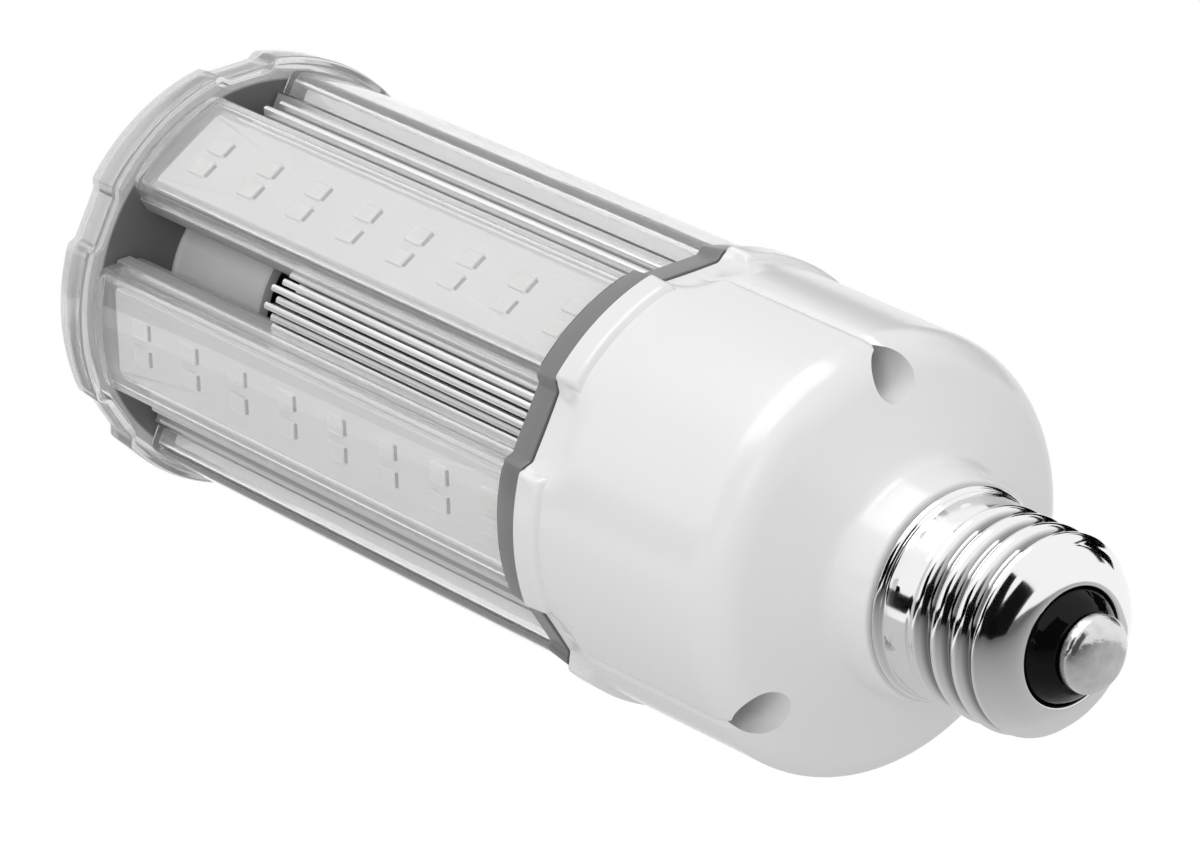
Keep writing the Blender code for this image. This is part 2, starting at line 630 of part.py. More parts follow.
def housing_inner_rings():
    """The inside, from the spigot's bore back down to the rim."""
    body = HOUSING_RADIUS - HOUSING_WALL
    shoulder_top = SHOULDER_START + SHOULDER_ROUND * math.sin(SHOULDER_TURN) - HOUSING_WALL
    shoulder_radius = HOUSING_RADIUS - SHOULDER_ROUND * (1 - math.cos(SHOULDER_TURN)) - HOUSING_WALL
    rim = HOUSING_RADIUS - RIM_GAP_DEPTH - HOUSING_WALL
    return [round_ring(NECK_TOP + SPIGOT_LENGTH, SPIGOT_BORE_RADIUS),
            round_ring(NECK_ROOT_HEIGHT - HOUSING_WALL, SPIGOT_BORE_RADIUS),
            round_ring(shoulder_top, shoulder_radius),
            round_ring(SHOULDER_START, body),
            round_ring(HOUSING_START + RIM_BLEND_LENGTH, body),
            round_ring(HOUSING_START, rim)]


def make_housing(material):
    """White moulded driver housing, with three deep screw bores and two board rails."""
    rings = housing_outer_rings() + housing_inner_rings()
    housing = add_part("housing", loft("housing", rings, closed=True), material)
    tube_top = SHOULDER_START + SHOULDER_ROUND - HOUSING_WALL
    for index, angle in enumerate(screw_angles()):
        place = (SCREW_CIRCLE_RADIUS, 0)
        tube = rod("screw_tube", SCREW_TUBE_RADIUS, SCREW_TUBE_START, tube_top - HOUSING_WALL, 12,
                   (SCREW_CIRCLE_RADIUS - HOUSING_WALL / 2, 0))
        boolean(housing, add_cutter(f"screw_tube_{index + 1}", tube, angle), "UNION")
        bore = rod("screw_bore", SCREW_BORE_RADIUS, SCREW_SEAT_HEIGHT,
                   SHOULDER_START + SHOULDER_ROUND + CUT_OVERRUN, 20, place)
        boolean(housing, add_cutter(f"screw_bore_{index + 1}", bore, angle), "DIFFERENCE")
        hole = rod("screw_hole", SCREW_HOLE_RADIUS, HOUSING_START - CUT_OVERRUN,
                   SCREW_SEAT_HEIGHT + CUT_OVERRUN, 12, place)
        boolean(housing, add_cutter(f"screw_hole_{index + 1}", hole, angle), "DIFFERENCE")
    inner = HOUSING_RADIUS - HOUSING_WALL
    slot_half = DRIVER_THICKNESS / 2 + SEAT_GAP
    length = DRIVER_END - DRIVER_START
    centres = [(end * (inner - RAIL_REACH / 2 + HOUSING_WALL / 4), side * (slot_half + RAIL_THICKNESS / 2),
                DRIVER_START + length / 2) for end in (-1, 1) for side in (-1, 1)]
    rails = blocks("board_rails", (RAIL_REACH, RAIL_THICKNESS, length), centres)
    boolean(housing, add_cutter("board_rails", rails, DRIVER_ANGLE), "UNION")


def make_housing_screws(material):
    """Pan-head screws at the bottom of the bores, through the housing into the collar."""
    head_start = SCREW_SEAT_HEIGHT + SEAT_GAP
    for index, angle in enumerate(screw_angles()):
        place = (SCREW_CIRCLE_RADIUS, 0)
        head = rod("screw_head", SCREW_HEAD_RADIUS, head_start, head_start + SCREW_HEAD_HEIGHT, 12, place)
        screw = add_part(f"housing_screw_{index + 1}", head, material, angle)
        shank = rod("screw_shank", SCREW_SHANK_RADIUS, SCREW_TIP_HEIGHT, head_start + JOIN_OVERLAP, 8, place)
        boolean(screw, add_cutter(f"screw_shank_{index + 1}", shank, angle), "UNION")
        top = head_start + SCREW_HEAD_HEIGHT
        reach = 2 * SCREW_HEAD_RADIUS * SCREW_SLOT_SHARE
        for name, size in (("slot_a", (reach, SCREW_SLOT_WIDTH, 2 * SCREW_SLOT_DEPTH)),
                           ("slot_b", (SCREW_SLOT_WIDTH, reach, 2 * SCREW_SLOT_DEPTH))):
            slot = block(name, size, (SCREW_CIRCLE_RADIUS, 0, top))
            boolean(screw, add_cutter(f"{name}_{index + 1}", slot, angle), "DIFFERENCE")


def shell_rows():
    """Height and plain radius of each ring of the shell, with its share of the thread."""
    rows = [(SHELL_START, SHELL_RIM_RADIUS - SHELL_SHEET, 0.0),
            (SHELL_START + SHELL_RIM_HEIGHT * SHELL_RIM_PEAK_SHARE, SHELL_RIM_RADIUS, 0.0),
            (SHELL_START + SHELL_RIM_HEIGHT, SHELL_SKIRT_RADIUS, 0.0)]
    mean = THREAD_CREST_RADIUS - THREAD_DEPTH / 2
    step = (THREAD_END - THREAD_START) / THREAD_ROWS
    rows.append((THREAD_START - step, SHELL_SKIRT_RADIUS, 0.0))
    for index in range(THREAD_ROWS + 1):
        fade = min(1.0, (index + 1) / THREAD_FADE_ROWS[0], (THREAD_ROWS + 1 - index) / THREAD_FADE_ROWS[1])
        rows.append((THREAD_START + index * step, mean * fade + SHELL_SKIRT_RADIUS * (1 - fade), fade))
    reach = SHELL_SKIRT_RADIUS - SHELL_MOUTH_RADIUS
    rise = SHELL_TOP - THREAD_END
    for radius_share, height_share in SHELL_END_SHARES:
        rows.append((THREAD_END + rise * height_share, SHELL_MOUTH_RADIUS + reach * radius_share, 0.0))
    rows.append((SHELL_TOP - SHELL_SHEET, SHELL_MOUTH_RADIUS, 0.0))
    return rows


def make_screw_shell(material):
    """Pressed shell: rolled rim, plain skirt, a rounded helical thread and a turned-in end."""
    work = bmesh.new()
    rings = []
    for height, radius, share in shell_rows():
        ring = []
        for index in range(SHELL_SEGMENTS):
            angle = 2 * math.pi * index / SHELL_SEGMENTS
            lead = (angle - THREAD_CREST_ANGLE) / (2 * math.pi)
            turns = (height - THREAD_CREST_HEIGHT) / THREAD_PITCH - lead
            wave = THREAD_DEPTH / 2 * share * math.cos(2 * math.pi * turns)
            ring.append(work.verts.new((*polar(radius + wave, angle), height)))
        rings.append(ring)
    for low, high in zip(rings, rings[1:]):
        for index in range(SHELL_SEGMENTS):
            after = (index + 1) % SHELL_SEGMENTS
            work.faces.new((low[index], low[after], high[after], high[index]))
    shell = add_part("screw_shell", mesh_from("screw_shell", work), material)
    wall = shell.modifiers.new("sheet", "SOLIDIFY")
    wall.thickness = SHELL_SHEET
    wall.offset = -1


def make_insulator(material):
    """Black glass insulator that rises from the shell's mouth to the contact."""
    stem = CONTACT_STEM_RADIUS + SEAT_GAP
    seat = SHELL_TOP - SHELL_SHEET
    bottom = seat - INSULATOR_DEPTH
    profile = [(INSULATOR_TOP_RADIUS, INSULATOR_TOP), (INSULATOR_LIP_RADIUS - SEAT_GAP, seat + SEAT_GAP),
               (INSULATOR_LIP_RADIUS, seat - SEAT_GAP), (INSULATOR_LIP_RADIUS, bottom),
               (stem, bottom), (stem, INSULATOR_TOP)]
    turned("shell_insulator", profile, 18, material, closed=True)


def make_contact(material):
    """Domed centre contact with its rivet stem through the insulator."""
    edge = CONTACT_START + CONTACT_EDGE_HEIGHT
    top = edge + CONTACT_DOME_HEIGHT
    profile = [(0, top), (CONTACT_FLAT_RADIUS, top)]
    for step in range(1, 4):
        turn = math.pi / 2 * step / 3
        profile.append((CONTACT_FLAT_RADIUS + (CONTACT_RADIUS - CONTACT_FLAT_RADIUS) * math.sin(turn),
                        edge + CONTACT_DOME_HEIGHT * math.cos(turn)))
    profile += [(CONTACT_RADIUS, CONTACT_START + SEAT_GAP), (CONTACT_RADIUS - SEAT_GAP, CONTACT_START),
                (CONTACT_STEM_RADIUS, CONTACT_START),
                (CONTACT_STEM_RADIUS, CONTACT_START - CONTACT_STEM_LENGTH),
                (0, CONTACT_START - CONTACT_STEM_LENGTH)]
    turned("centre_contact", profile, 18, material)


def on_driver(name, mesh, material):
    """Stand a component on the driver board, whose face is turned with the board."""
    return add_part(name, mesh, material, DRIVER_ANGLE)


def lying_rod(name, radius, length, across, height):
    """A component lying along the board, with bevelled ends."""
    work = bmesh.new()
    clear = DRIVER_THICKNESS / 2 + SEAT_GAP + radius
    place = Matrix.Translation((across, clear, height))
    bmesh.ops.create_cone(work, cap_ends=True, segments=12, radius1=radius,
                          radius2=radius, depth=length, matrix=place)
    rims = [item for item in work.edges if abs(item.verts[0].co.z - item.verts[1].co.z) < MERGE_DISTANCE]
    bmesh.ops.bevel(work, geom=rims, offset=CAPACITOR_EDGE, segments=1, affect="EDGES")
    return mesh_from(name, work)


def standing_block(name, size, across, height):
    """A box that stands on the far face of the board."""
    clear = -(DRIVER_THICKNESS / 2 + SEAT_GAP + size[1] / 2)
    return block(name, size, (across, clear, height))


def make_driver(board_material, ferrite, sleeve, film, epoxy, winding):
    """Driver board in the housing's rails, with its main components on both faces."""
    length = DRIVER_END - DRIVER_START
    board = block("driver_board", (DRIVER_WIDTH, DRIVER_THICKNESS, length), (0, 0, DRIVER_START + length / 2))
    on_driver("driver_board", board, board_material)
    across = TRANSFORMER_SHARE * DRIVER_WIDTH
    level = DRIVER_START + TRANSFORMER_OFFSET
    core = standing_block("transformer", TRANSFORMER_SIZE, across, level)
    transformer = on_driver("transformer", core, ferrite)
    width, depth, height = TRANSFORMER_SIZE
    wound = (width - 2 * BOBBIN_MARGIN, depth + BOBBIN_MARGIN, height + 2 * BOBBIN_MARGIN)
    bobbin = standing_block("bobbin", wound, across, level)
    boolean(transformer, add_cutter("bobbin", bobbin, DRIVER_ANGLE), "UNION")
    across += width / 2 + FILM_CAPACITOR_GAP + FILM_CAPACITOR_SIZE[0] / 2
    case = standing_block("film_capacitor", FILM_CAPACITOR_SIZE, across, DRIVER_START + FILM_CAPACITOR_OFFSET)
    on_driver("film_capacitor", case, film)
    across += FILM_CAPACITOR_SIZE[0] / 2 + RECTIFIER_GAP + RECTIFIER_SIZE[0] / 2
    case = standing_block("rectifier", RECTIFIER_SIZE, across, DRIVER_START + RECTIFIER_OFFSET)
    on_driver("rectifier", case, epoxy)
    can = lying_rod("input_capacitor", INPUT_CAPACITOR_RADIUS, INPUT_CAPACITOR_LENGTH,
                    INPUT_CAPACITOR_SHARE * DRIVER_WIDTH, DRIVER_START + INPUT_CAPACITOR_OFFSET)
    on_driver("input_capacitor", can, sleeve)
    can = lying_rod("output_capacitor", OUTPUT_CAPACITOR_RADIUS, OUTPUT_CAPACITOR_LENGTH,
                    OUTPUT_CAPACITOR_SHARE * DRIVER_WIDTH, DRIVER_START + OUTPUT_CAPACITOR_OFFSET)
    on_driver("output_capacitor", can, sleeve)
    coil = lying_rod("inductor", INDUCTOR_RADIUS, INDUCTOR_LENGTH,
                     INDUCTOR_SHARE * DRIVER_WIDTH, DRIVER_START + INDUCTOR_OFFSET)
    on_driver("inductor", coil, winding)


def make_wire(name, points, material):
    """An insulated lead as a round tube along its points."""
    curve = bpy.data.curves.new(name, "CURVE")
    curve.dimensions = "3D"
    curve.bevel_depth = WIRE_RADIUS
    curve.bevel_resolution = 2
    curve.use_fill_caps = True
    spline = curve.splines.new("POLY")
    spline.points.add(len(points) - 1)
    for point, place in zip(spline.points, points):
        point.co = (*place, 1)
    curve.materials.append(material)
    item = bpy.data.objects.new(name, curve)
    item.rotation_euler = (0, 0, DRIVER_ANGLE)
    parts.objects.link(item)


def make_leads(live, neutral):
    """Leads from the driver board to the contact, to the shell and to the end LED board."""
    stem_end = CONTACT_START - CONTACT_STEM_LENGTH
    solder = DRIVER_END + SEAT_GAP + WIRE_RADIUS
    make_wire("contact_lead", [(LEAD_SPREAD, 0, solder), (LEAD_SPREAD, 0, NECK_TOP),
                               (LEAD_SPREAD / 2, 0, (NECK_TOP + stem_end) / 2 + LEAD_SPREAD),
                               (0, 0, stem_end - LEAD_SPREAD), (0, 0, stem_end - SEAT_GAP)], live)
    reach = SPIGOT_BORE_RADIUS - SEAT_GAP - WIRE_RADIUS
    shell_inside = THREAD_CREST_RADIUS - THREAD_DEPTH - SHELL_SHEET - SEAT_GAP - WIRE_RADIUS
    top = NECK_TOP + SPIGOT_LENGTH
    make_wire("shell_lead", [(-LEAD_SPREAD, 0, solder), (-LEAD_SPREAD, 0, NECK_ROOT_HEIGHT),
                             (-reach, 0, NECK_TOP), (-reach, 0, top),
                             (-shell_inside, 0, top + LEAD_SPREAD)], neutral)
    plate = END_PLATE_END
    board = DRIVER_START - SEAT_GAP - WIRE_RADIUS
    for name, side, material in (("led_lead_positive", 1, live), ("led_lead_negative", -1, neutral)):
        make_wire(name, [(side * LEAD_SPREAD, 0, board), (side * LEAD_SPREAD, 0, board - LEAD_SPREAD),
                         (side * LEAD_SPREAD, -LEAD_OFFSET, LEAD_STRAIGHT_END),
                         (side * LEAD_SPREAD, -LEAD_OFFSET, LEAD_STRAIGHT_START),
                         (side * LEAD_SPREAD / 2, 0, plate + LEAD_OFFSET),
                         (side * LEAD_SPREAD / 2, 0, END_BOARD_END + SEAT_GAP)], material)


def build():
    start_scene()
    clear_plastic = make_material("clear_polycarbonate", (0.93, 0.94, 0.94), 0.05, 0.0, 0.9)
    aluminium = make_material("extruded_aluminium", (0.62, 0.63, 0.64), 0.3, 1.0)
    white_board = make_material("white_solder_mask", (0.83, 0.83, 0.81), 0.4)
    grey_plastic = make_material("grey_plastic", (0.17, 0.17, 0.175), 0.45)
    plate_plastic = make_material("plate_plastic", (0.3, 0.3, 0.31), 0.4)
    white_plastic = make_material("white_plastic", (0.84, 0.84, 0.84), 0.2)
    screw_steel = make_material("zinc_plated_steel", (0.6, 0.6, 0.58), 0.35, 1.0)
    nickel = make_material("nickel_plated_shell", (0.72, 0.7, 0.66), 0.1, 1.0)
    black_glass = make_material("black_insulator", (0.012, 0.012, 0.012), 0.08)
    solder = make_material("tinned_contact", (0.62, 0.62, 0.6), 0.32, 1.0)
    green_board = make_material("driver_board_green", (0.03, 0.16, 0.07), 0.4)
    ferrite = make_material("ferrite", (0.05, 0.05, 0.055), 0.6)
    sleeve = make_material("capacitor_sleeve", (0.02, 0.03, 0.08), 0.35)
    film = make_material("film_capacitor_case", (0.45, 0.25, 0.04), 0.4)
    epoxy = make_material("epoxy_case", (0.02, 0.02, 0.02), 0.5)
    winding = make_material("copper_winding", (0.55, 0.2, 0.08), 0.4)
    live = make_material("red_lead", (0.5, 0.03, 0.02), 0.4)
    neutral = make_material("white_lead", (0.7, 0.7, 0.68), 0.4)
    make_heat_sink(aluminium)
    make_led_boards(white_board)
    make_panel_covers(clear_plastic)
    make_end_plate(plate_plastic)
    make_end_led_board(white_board)
    make_end_cap(clear_plastic)
    make_collar(grey_plastic)
    make_housing(white_plastic)
    make_housing_screws(screw_steel)
    make_screw_shell(nickel)
    make_insulator(black_glass)
    make_contact(solder)
    make_driver(green_board, ferrite, sleeve, film, epoxy, winding)
    make_leads(live, neutral)


build()
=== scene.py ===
import math

import bmesh
import bpy
import numpy as np
from mathutils import Matrix


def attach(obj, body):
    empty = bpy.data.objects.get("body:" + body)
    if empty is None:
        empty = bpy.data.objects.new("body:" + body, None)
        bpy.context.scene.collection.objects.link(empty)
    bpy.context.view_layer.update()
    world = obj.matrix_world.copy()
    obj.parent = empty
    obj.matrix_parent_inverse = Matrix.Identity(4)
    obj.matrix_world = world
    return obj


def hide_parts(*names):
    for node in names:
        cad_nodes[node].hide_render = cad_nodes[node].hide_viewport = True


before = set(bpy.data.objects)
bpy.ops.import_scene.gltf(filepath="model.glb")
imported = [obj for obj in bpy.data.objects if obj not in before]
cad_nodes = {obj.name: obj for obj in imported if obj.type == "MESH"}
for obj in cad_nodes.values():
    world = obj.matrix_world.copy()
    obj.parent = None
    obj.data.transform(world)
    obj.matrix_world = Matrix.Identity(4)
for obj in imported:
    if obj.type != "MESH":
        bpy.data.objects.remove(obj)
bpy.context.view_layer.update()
mm = 0.001


# End plate and duct. A grey moulded disc inside the cap's rim, pale along its
# edge, with a short round duct that stands on it inside the heat sink. Both are
# injection-moulded plastic, the plate satin, the duct glossier and much paler.

def linear(colour):
    """sRGB hex to linear RGBA: c / 12.92 up to 0.04045, and ((c + 0.055) / 1.055) ^ 2.4 above."""
    c = np.array([int(colour[i:i + 2], 16) for i in (1, 3, 5)]) / 255
    c = np.where(c <= 0.04045, c / 12.92, ((c + 0.055) / 1.055) ** 2.4)
    return (*c, 1.0)


def add_node(tree, kind, settings=None, links=None):
    """A node with sockets or properties set by name, and inputs linked from given outputs."""
    node = tree.nodes.new(kind)
    for key, value in (settings or {}).items():
        if isinstance(key, int) or key in node.inputs:
            node.inputs[key].default_value = value
        else:
            setattr(node, key, value)
    for key, output in (links or {}).items():
        tree.links.new(output, node.inputs[key])
    return node


def start_material(name, colour, roughness, metallic=0.0, ior=1.5):
    """A material with its shader's own sockets set, and the point on the piece in metres."""
    material = bpy.data.materials.new(name)
    material.use_nodes = True
    tree = material.node_tree
    shader = tree.nodes["Principled BSDF"]
    shader.inputs["Base Color"].default_value = linear(colour)
    shader.inputs["Roughness"].default_value = roughness
    shader.inputs["Metallic"].default_value = metallic
    shader.inputs["IOR"].default_value = ior
    place = add_node(tree, "ShaderNodeTexCoord").outputs["Object"]
    return material, tree, shader, place


def follow_pattern(tree, shader, pattern, tones=None, gloss=None, bump=None):
    """Let a shader follow a pattern from 0 to 1: its colour from the first tone to the second,
    its roughness between two values, and a bump of a strength and a depth in metres."""
    if tones:
        tone = add_node(tree, "ShaderNodeMix",
                        {"data_type": "RGBA", 6: linear(tones[0]), 7: linear(tones[1])}, {0: pattern})
        tree.links.new(tone.outputs[2], shader.inputs["Base Color"])
    if gloss:
        level = add_node(tree, "ShaderNodeMapRange", {"To Min": gloss[0], "To Max": gloss[1]},
                         {"Value": pattern})
        tree.links.new(level.outputs["Result"], shader.inputs["Roughness"])
    if bump:
        relief = add_node(tree, "ShaderNodeBump", {"Strength": bump[0], "Distance": bump[1]},
                          {"Height": pattern})
        tree.links.new(relief.outputs["Normal"], shader.inputs["Normal"])


def moulded_finish(name, colour, darker, roughness, grain_mm, depth_mm, ior=1.5):
    """Moulded plastic: a faint cloud of tone about 17 mm wide, gloss that follows it, and a
    spark-eroded grain. The real grain is mostly finer, so it is as coarse as it needs to show."""
    material, tree, shader, place = start_material(name, colour, roughness, ior=ior)
    cloud = add_node(tree, "ShaderNodeTexNoise", {"Scale": 60.0, "Detail": 2.0}, {"Vector": place})
    grain = add_node(tree, "ShaderNodeTexNoise", {"Scale": 1000 / grain_mm, "Detail": 3.0},
                     {"Vector": place})
    follow_pattern(tree, shader, cloud.outputs["Fac"], tones=(darker, colour),
                   gloss=(roughness * 0.85, roughness * 1.15))
    follow_pattern(tree, shader, grain.outputs["Fac"], bump=(0.3, depth_mm * mm))
    return material


def paint_node(name, material):
    """Give a carried-over solid its finish."""
    data = cad_nodes[name].data
    data.materials.clear()
    data.materials.append(material)


def place_mesh(name, mesh):
    """Merge a mesh's doubled points, shade it smooth and put it in the scene as a piece."""
    clean = bmesh.new()
    clean.from_mesh(mesh)
    bmesh.ops.remove_doubles(clean, verts=clean.verts, dist=1e-7)
    clean.to_mesh(mesh)
    clean.free()
    mesh.shade_smooth()
    piece = bpy.data.objects.new(name, mesh)
    bpy.context.scene.collection.objects.link(piece)
    return piece


def mesh_piece(name, grid, material, wrap=False, close=(False, False)):
    """Piece from a (rows, columns, 3) grid: a quad between each four neighbours, wrapped round
    the columns if asked, and a fan to the row's mean at the first or last row if closed there."""
    rows, columns = grid.shape[:2]
    index = np.arange(rows * columns).reshape(rows, columns)
    ahead = np.roll(index, -1, axis=1)
    width = columns if wrap else columns - 1
    quads = np.stack([index[:-1], ahead[:-1], ahead[1:], index[1:]], axis=-1)[:, :width]
    points = grid.reshape(-1, 3)
    faces = quads.reshape(-1, 4).tolist()
    for end, row in enumerate((0, rows - 1)):
        if close[end]:
            points = np.vstack([points, grid[row].mean(axis=0)])
            hub = np.full(columns, len(points) - 1)
            pair = (ahead[row], index[row]) if end == 0 else (index[row], ahead[row])
            faces += np.stack([pair[0], pair[1], hub], axis=-1).tolist()
    mesh = bpy.data.meshes.new(name)
    mesh.from_pydata(points.tolist(), [], faces)
    mesh.materials.append(material)
    return place_mesh(name, mesh)


def rounded_path(corners, radii, steps=6):
    """A path through corners, each corner c eased over its radius from a to b along the two
    sides by (1 - t)^2 a + 2 t (1 - t) c + t^2 b. A radius of 0 keeps the corner sharp."""
    corners = np.array(corners, float)
    t = np.linspace(0, 1, steps)[:, None]
    parts = [corners[:1]]
    for before, corner, after, radius in zip(corners[:-2], corners[1:-1], corners[2:], radii):
        a = corner + radius * (before - corner) / np.linalg.norm(before - corner)
        b = corner + radius * (after - corner) / np.linalg.norm(after - corner)
        parts.append((1 - t) ** 2 * a + 2 * t * (1 - t) * corner + t ** 2 * b if radius else corner[None])
    parts.append(corners[-1:])
    return np.vstack(parts)


def turned_grid(profile, columns):
    """A profile of (r, z) turned about the axis: (r cos a, r sin a, z) for a round the circle."""
    angle = np.linspace(0, 2 * np.pi, columns, endpoint=False)
    r, z = profile[:, 0, None], profile[:, 1, None]
    return np.stack([r * np.cos(angle), r * np.sin(angle), z + 0 * angle], axis=-1)


def add_reach(tree, place):
    """A point's distance from the axis, sqrt(x^2 + y^2), and its height z."""
    split = add_node(tree, "ShaderNodeSeparateXYZ", {}, {0: place})
    flat = add_node(tree, "ShaderNodeCombineXYZ", {}, {0: split.outputs[0], 1: split.outputs[1]})
    reach = add_node(tree, "ShaderNodeVectorMath", {"operation": "LENGTH"}, {0: flat.outputs[0]})
    return reach.outputs["Value"], split.outputs[2]


plate_grey_to, plate_pale_from = 26.9 * mm, 27.3 * mm
plate_grey = moulded_finish("moulded_grey_end_plate", "#757575", "#6E6E6E", 0.4, 0.25, 0.01)
plate_tree = plate_grey.node_tree
plate_colour = plate_tree.nodes["Principled BSDF"].inputs["Base Color"]
plate_place = add_node(plate_tree, "ShaderNodeTexCoord").outputs["Object"]
plate_edge = add_node(plate_tree, "ShaderNodeMapRange",
                      {"From Min": plate_grey_to, "From Max": plate_pale_from},
                      {"Value": add_reach(plate_tree, plate_place)[0]})
plate_tone = add_node(plate_tree, "ShaderNodeMix", {"data_type": "RGBA", 7: linear("#D2D2D2")},
                      {0: plate_edge.outputs["Result"], 6: plate_colour.links[0].from_socket})
plate_tree.links.new(plate_tone.outputs[2], plate_colour)
paint_node("end_plate", plate_grey)

duct_radius, duct_wall = 15.0 * mm, 1.6 * mm
duct_foot, duct_top = 5.35 * mm, 24.55 * mm
duct_lip = 0.45 * mm
duct_white = moulded_finish("moulded_pale_duct", "#FCFCFC", "#F4F4F4", 0.2, 0.6, 0.006)
duct_profile = rounded_path(
    [(duct_radius + duct_lip, duct_foot), (duct_radius, duct_foot + 2 * duct_lip),
     (duct_radius - duct_lip / 3, duct_top - duct_lip), (duct_radius, duct_top - duct_lip / 2),
     (duct_radius, duct_top), (duct_radius - duct_wall, duct_top), (duct_radius - duct_wall, duct_foot),
     (duct_radius + duct_lip, duct_foot)],
    [duct_lip, duct_lip / 2, duct_lip / 4, duct_lip / 4, duct_lip / 4, 0], steps=4)
duct = mesh_piece("duct_sleeve", turned_grid(duct_profile, columns=160), duct_white, wrap=True)
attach(duct, "root")


# End LED board. A round aluminium-backed board with white solder mask, screwed
# under the clear head. The mask is printed and cured, so it is smooth with a
# slight waviness. It is the same stock as the boards on the sides.

def solder_mask(name, colour, darker):
    """White solder mask: cured ink with a waviness about 3 mm long, and a faint tone with it."""
    material, tree, shader, place = start_material(name, colour, 0.32)
    wave = add_node(tree, "ShaderNodeTexNoise", {"Scale": 350.0, "Detail": 3.0}, {"Vector": place})
    follow_pattern(tree, shader, wave.outputs["Fac"], tones=(darker, colour), bump=(0.25, 0.02 * mm))
    return material


mask_white = solder_mask("printed_white_solder_mask", "#E3E3E3", "#DEDEDE")
paint_node("end_led_board", mask_white)


# Heat sink. One unpainted aluminium extrusion: a tubular core, six flats for the
# boards and thin fins in each gap, with fine die lines all along. The fins start
# 11.1 mm from the head's face, as in the photograph, not at the source's 6.7 mm.

def extruded_aluminium(name, colour, darker):
    """Bare extrusion: die lines about 0.25 mm apart that run for centimetres along the axis."""
    material, tree, shader, place = start_material(name, colour, 0.4, metallic=0.65)
    stretch = add_node(tree, "ShaderNodeMapping", {"Scale": (4000.0, 4000.0, 25.0)}, {"Vector": place})
    lines = add_node(tree, "ShaderNodeTexNoise", {"Scale": 1.0, "Detail": 4.0},
                     {"Vector": stretch.outputs["Vector"]})
    follow_pattern(tree, shader, lines.outputs["Fac"], tones=(darker, colour), gloss=(0.3, 0.5),
                   bump=(0.35, 0.03 * mm))
    return material


fin_source_low, fin_photo_low, level_reach = 6.7 * mm, 11.1 * mm, 0.05 * mm
bare_aluminium = extruded_aluminium("extruded_bare_aluminium", "#F2F2F2", "#D0D0D0")
sink_mesh = cad_nodes["heat_sink"].data.copy()
sink_work = bmesh.new()
sink_work.from_mesh(sink_mesh)
bmesh.ops.remove_doubles(sink_work, verts=sink_work.verts, dist=1e-6)
for corner in sink_work.verts:
    if abs(corner.co.z - fin_source_low) < level_reach:
        corner.co.z = fin_photo_low
bmesh.ops.dissolve_limit(sink_work, angle_limit=math.radians(1), verts=sink_work.verts,
                         edges=sink_work.edges)
sink_work.to_mesh(sink_mesh)
sink_work.free()
sink_mesh.materials.clear()
sink_mesh.materials.append(bare_aluminium)
sink_mesh.shade_smooth()
sink_mesh.set_sharp_from_angle(angle=math.radians(30))
sink = bpy.data.objects.new("extruded_heat_sink", sink_mesh)
bpy.context.scene.collection.objects.link(sink)
sink_edge = sink.modifiers.new("die_radius", "BEVEL")
sink_edge.width = 0.1 * mm
sink_edge.segments = 2
sink_edge.limit_method = "ANGLE"
sink_edge.angle_limit = math.radians(40)
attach(sink, "root")
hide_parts("heat_sink")


# Side LED boards. White aluminium-backed strips with two rows of eight surface
# mounted packages each. A package is a white moulded frame with a shallow
# window of pale phosphor, and its solder shows at the end next to the base,
# painted dark grey there as shade and dark reflection.

panels = range(6)
panel_pitch = math.radians(60)
board_face, board_back = 25.65 * mm, 24.05 * mm
board_half, board_corner, board_ease = 6.1 * mm, 0.6 * mm, 0.15 * mm
board_low, board_high = 8.7 * mm, 92.7 * mm
led_rows = np.array([-1.86, 1.86]) * mm
led_heights = (14.4 + 10.64 * np.arange(8)) * mm
led_half_width, led_half_length = 1.4 * mm, 1.75 * mm
led_rise, terminal_half = 0.45 * mm, 1.05 * mm
sharp_angle = math.radians(38)


def board_grid():
    """A slab with an eased front edge: rounded rectangles at the back, just under the face and
    at the face, the last one shrunk by the ease."""
    t = np.linspace(0, np.pi / 2, 5)
    ring = []
    for turn, (sy, sz) in enumerate(((1, 1), (-1, 1), (-1, -1), (1, -1))):
        a = t + turn * np.pi / 2
        ring.append(np.stack([sy * (board_half - board_corner) + board_corner * np.cos(a),
                              np.where(sz > 0, board_high - board_corner, board_low + board_corner)
                              + board_corner * np.sin(a)], axis=-1))
    ring = np.vstack(ring)
    middle = np.array([0, (board_low + board_high) / 2])
    away = np.sign(ring - middle)
    rows = [(board_back, 0), (board_face - board_ease, 0), (board_face, board_ease)]
    return np.stack([np.column_stack([np.full(len(ring), x), ring - away * shrink])
                     for x, shrink in rows])


def led_grid():
    """A package: y = half width |cos a|^p and z = half length |sin a|^p, with p small so that
    they are rounded squares. Each row gives their share and the share of the rise: up the
    slightly leaning side, over the rim, down the window's wall and in to its middle."""
    rows = np.array([(0.0, -0.1), (1.0, -0.1), (0.985, 0.35), (0.95, 0.97), (0.925, 1.0), (0.80, 1.0),
                     (0.76, 0.97), (0.72, 0.80), (0.4, 0.775), (0.0, 0.77)])
    a = np.linspace(0, 2 * np.pi, 24, endpoint=False) + np.pi / 24
    power = np.where(rows[:, :1] > 0.85, 0.16, 0.32)
    y = np.sign(np.cos(a)) * np.abs(np.cos(a)) ** power * led_half_width * rows[:, :1]
    z = np.sign(np.sin(a)) * np.abs(np.sin(a)) ** power * led_half_length * rows[:, :1]
    return np.stack([board_face + led_rise * rows[:, 1:] + 0 * y, y, z], axis=-1)


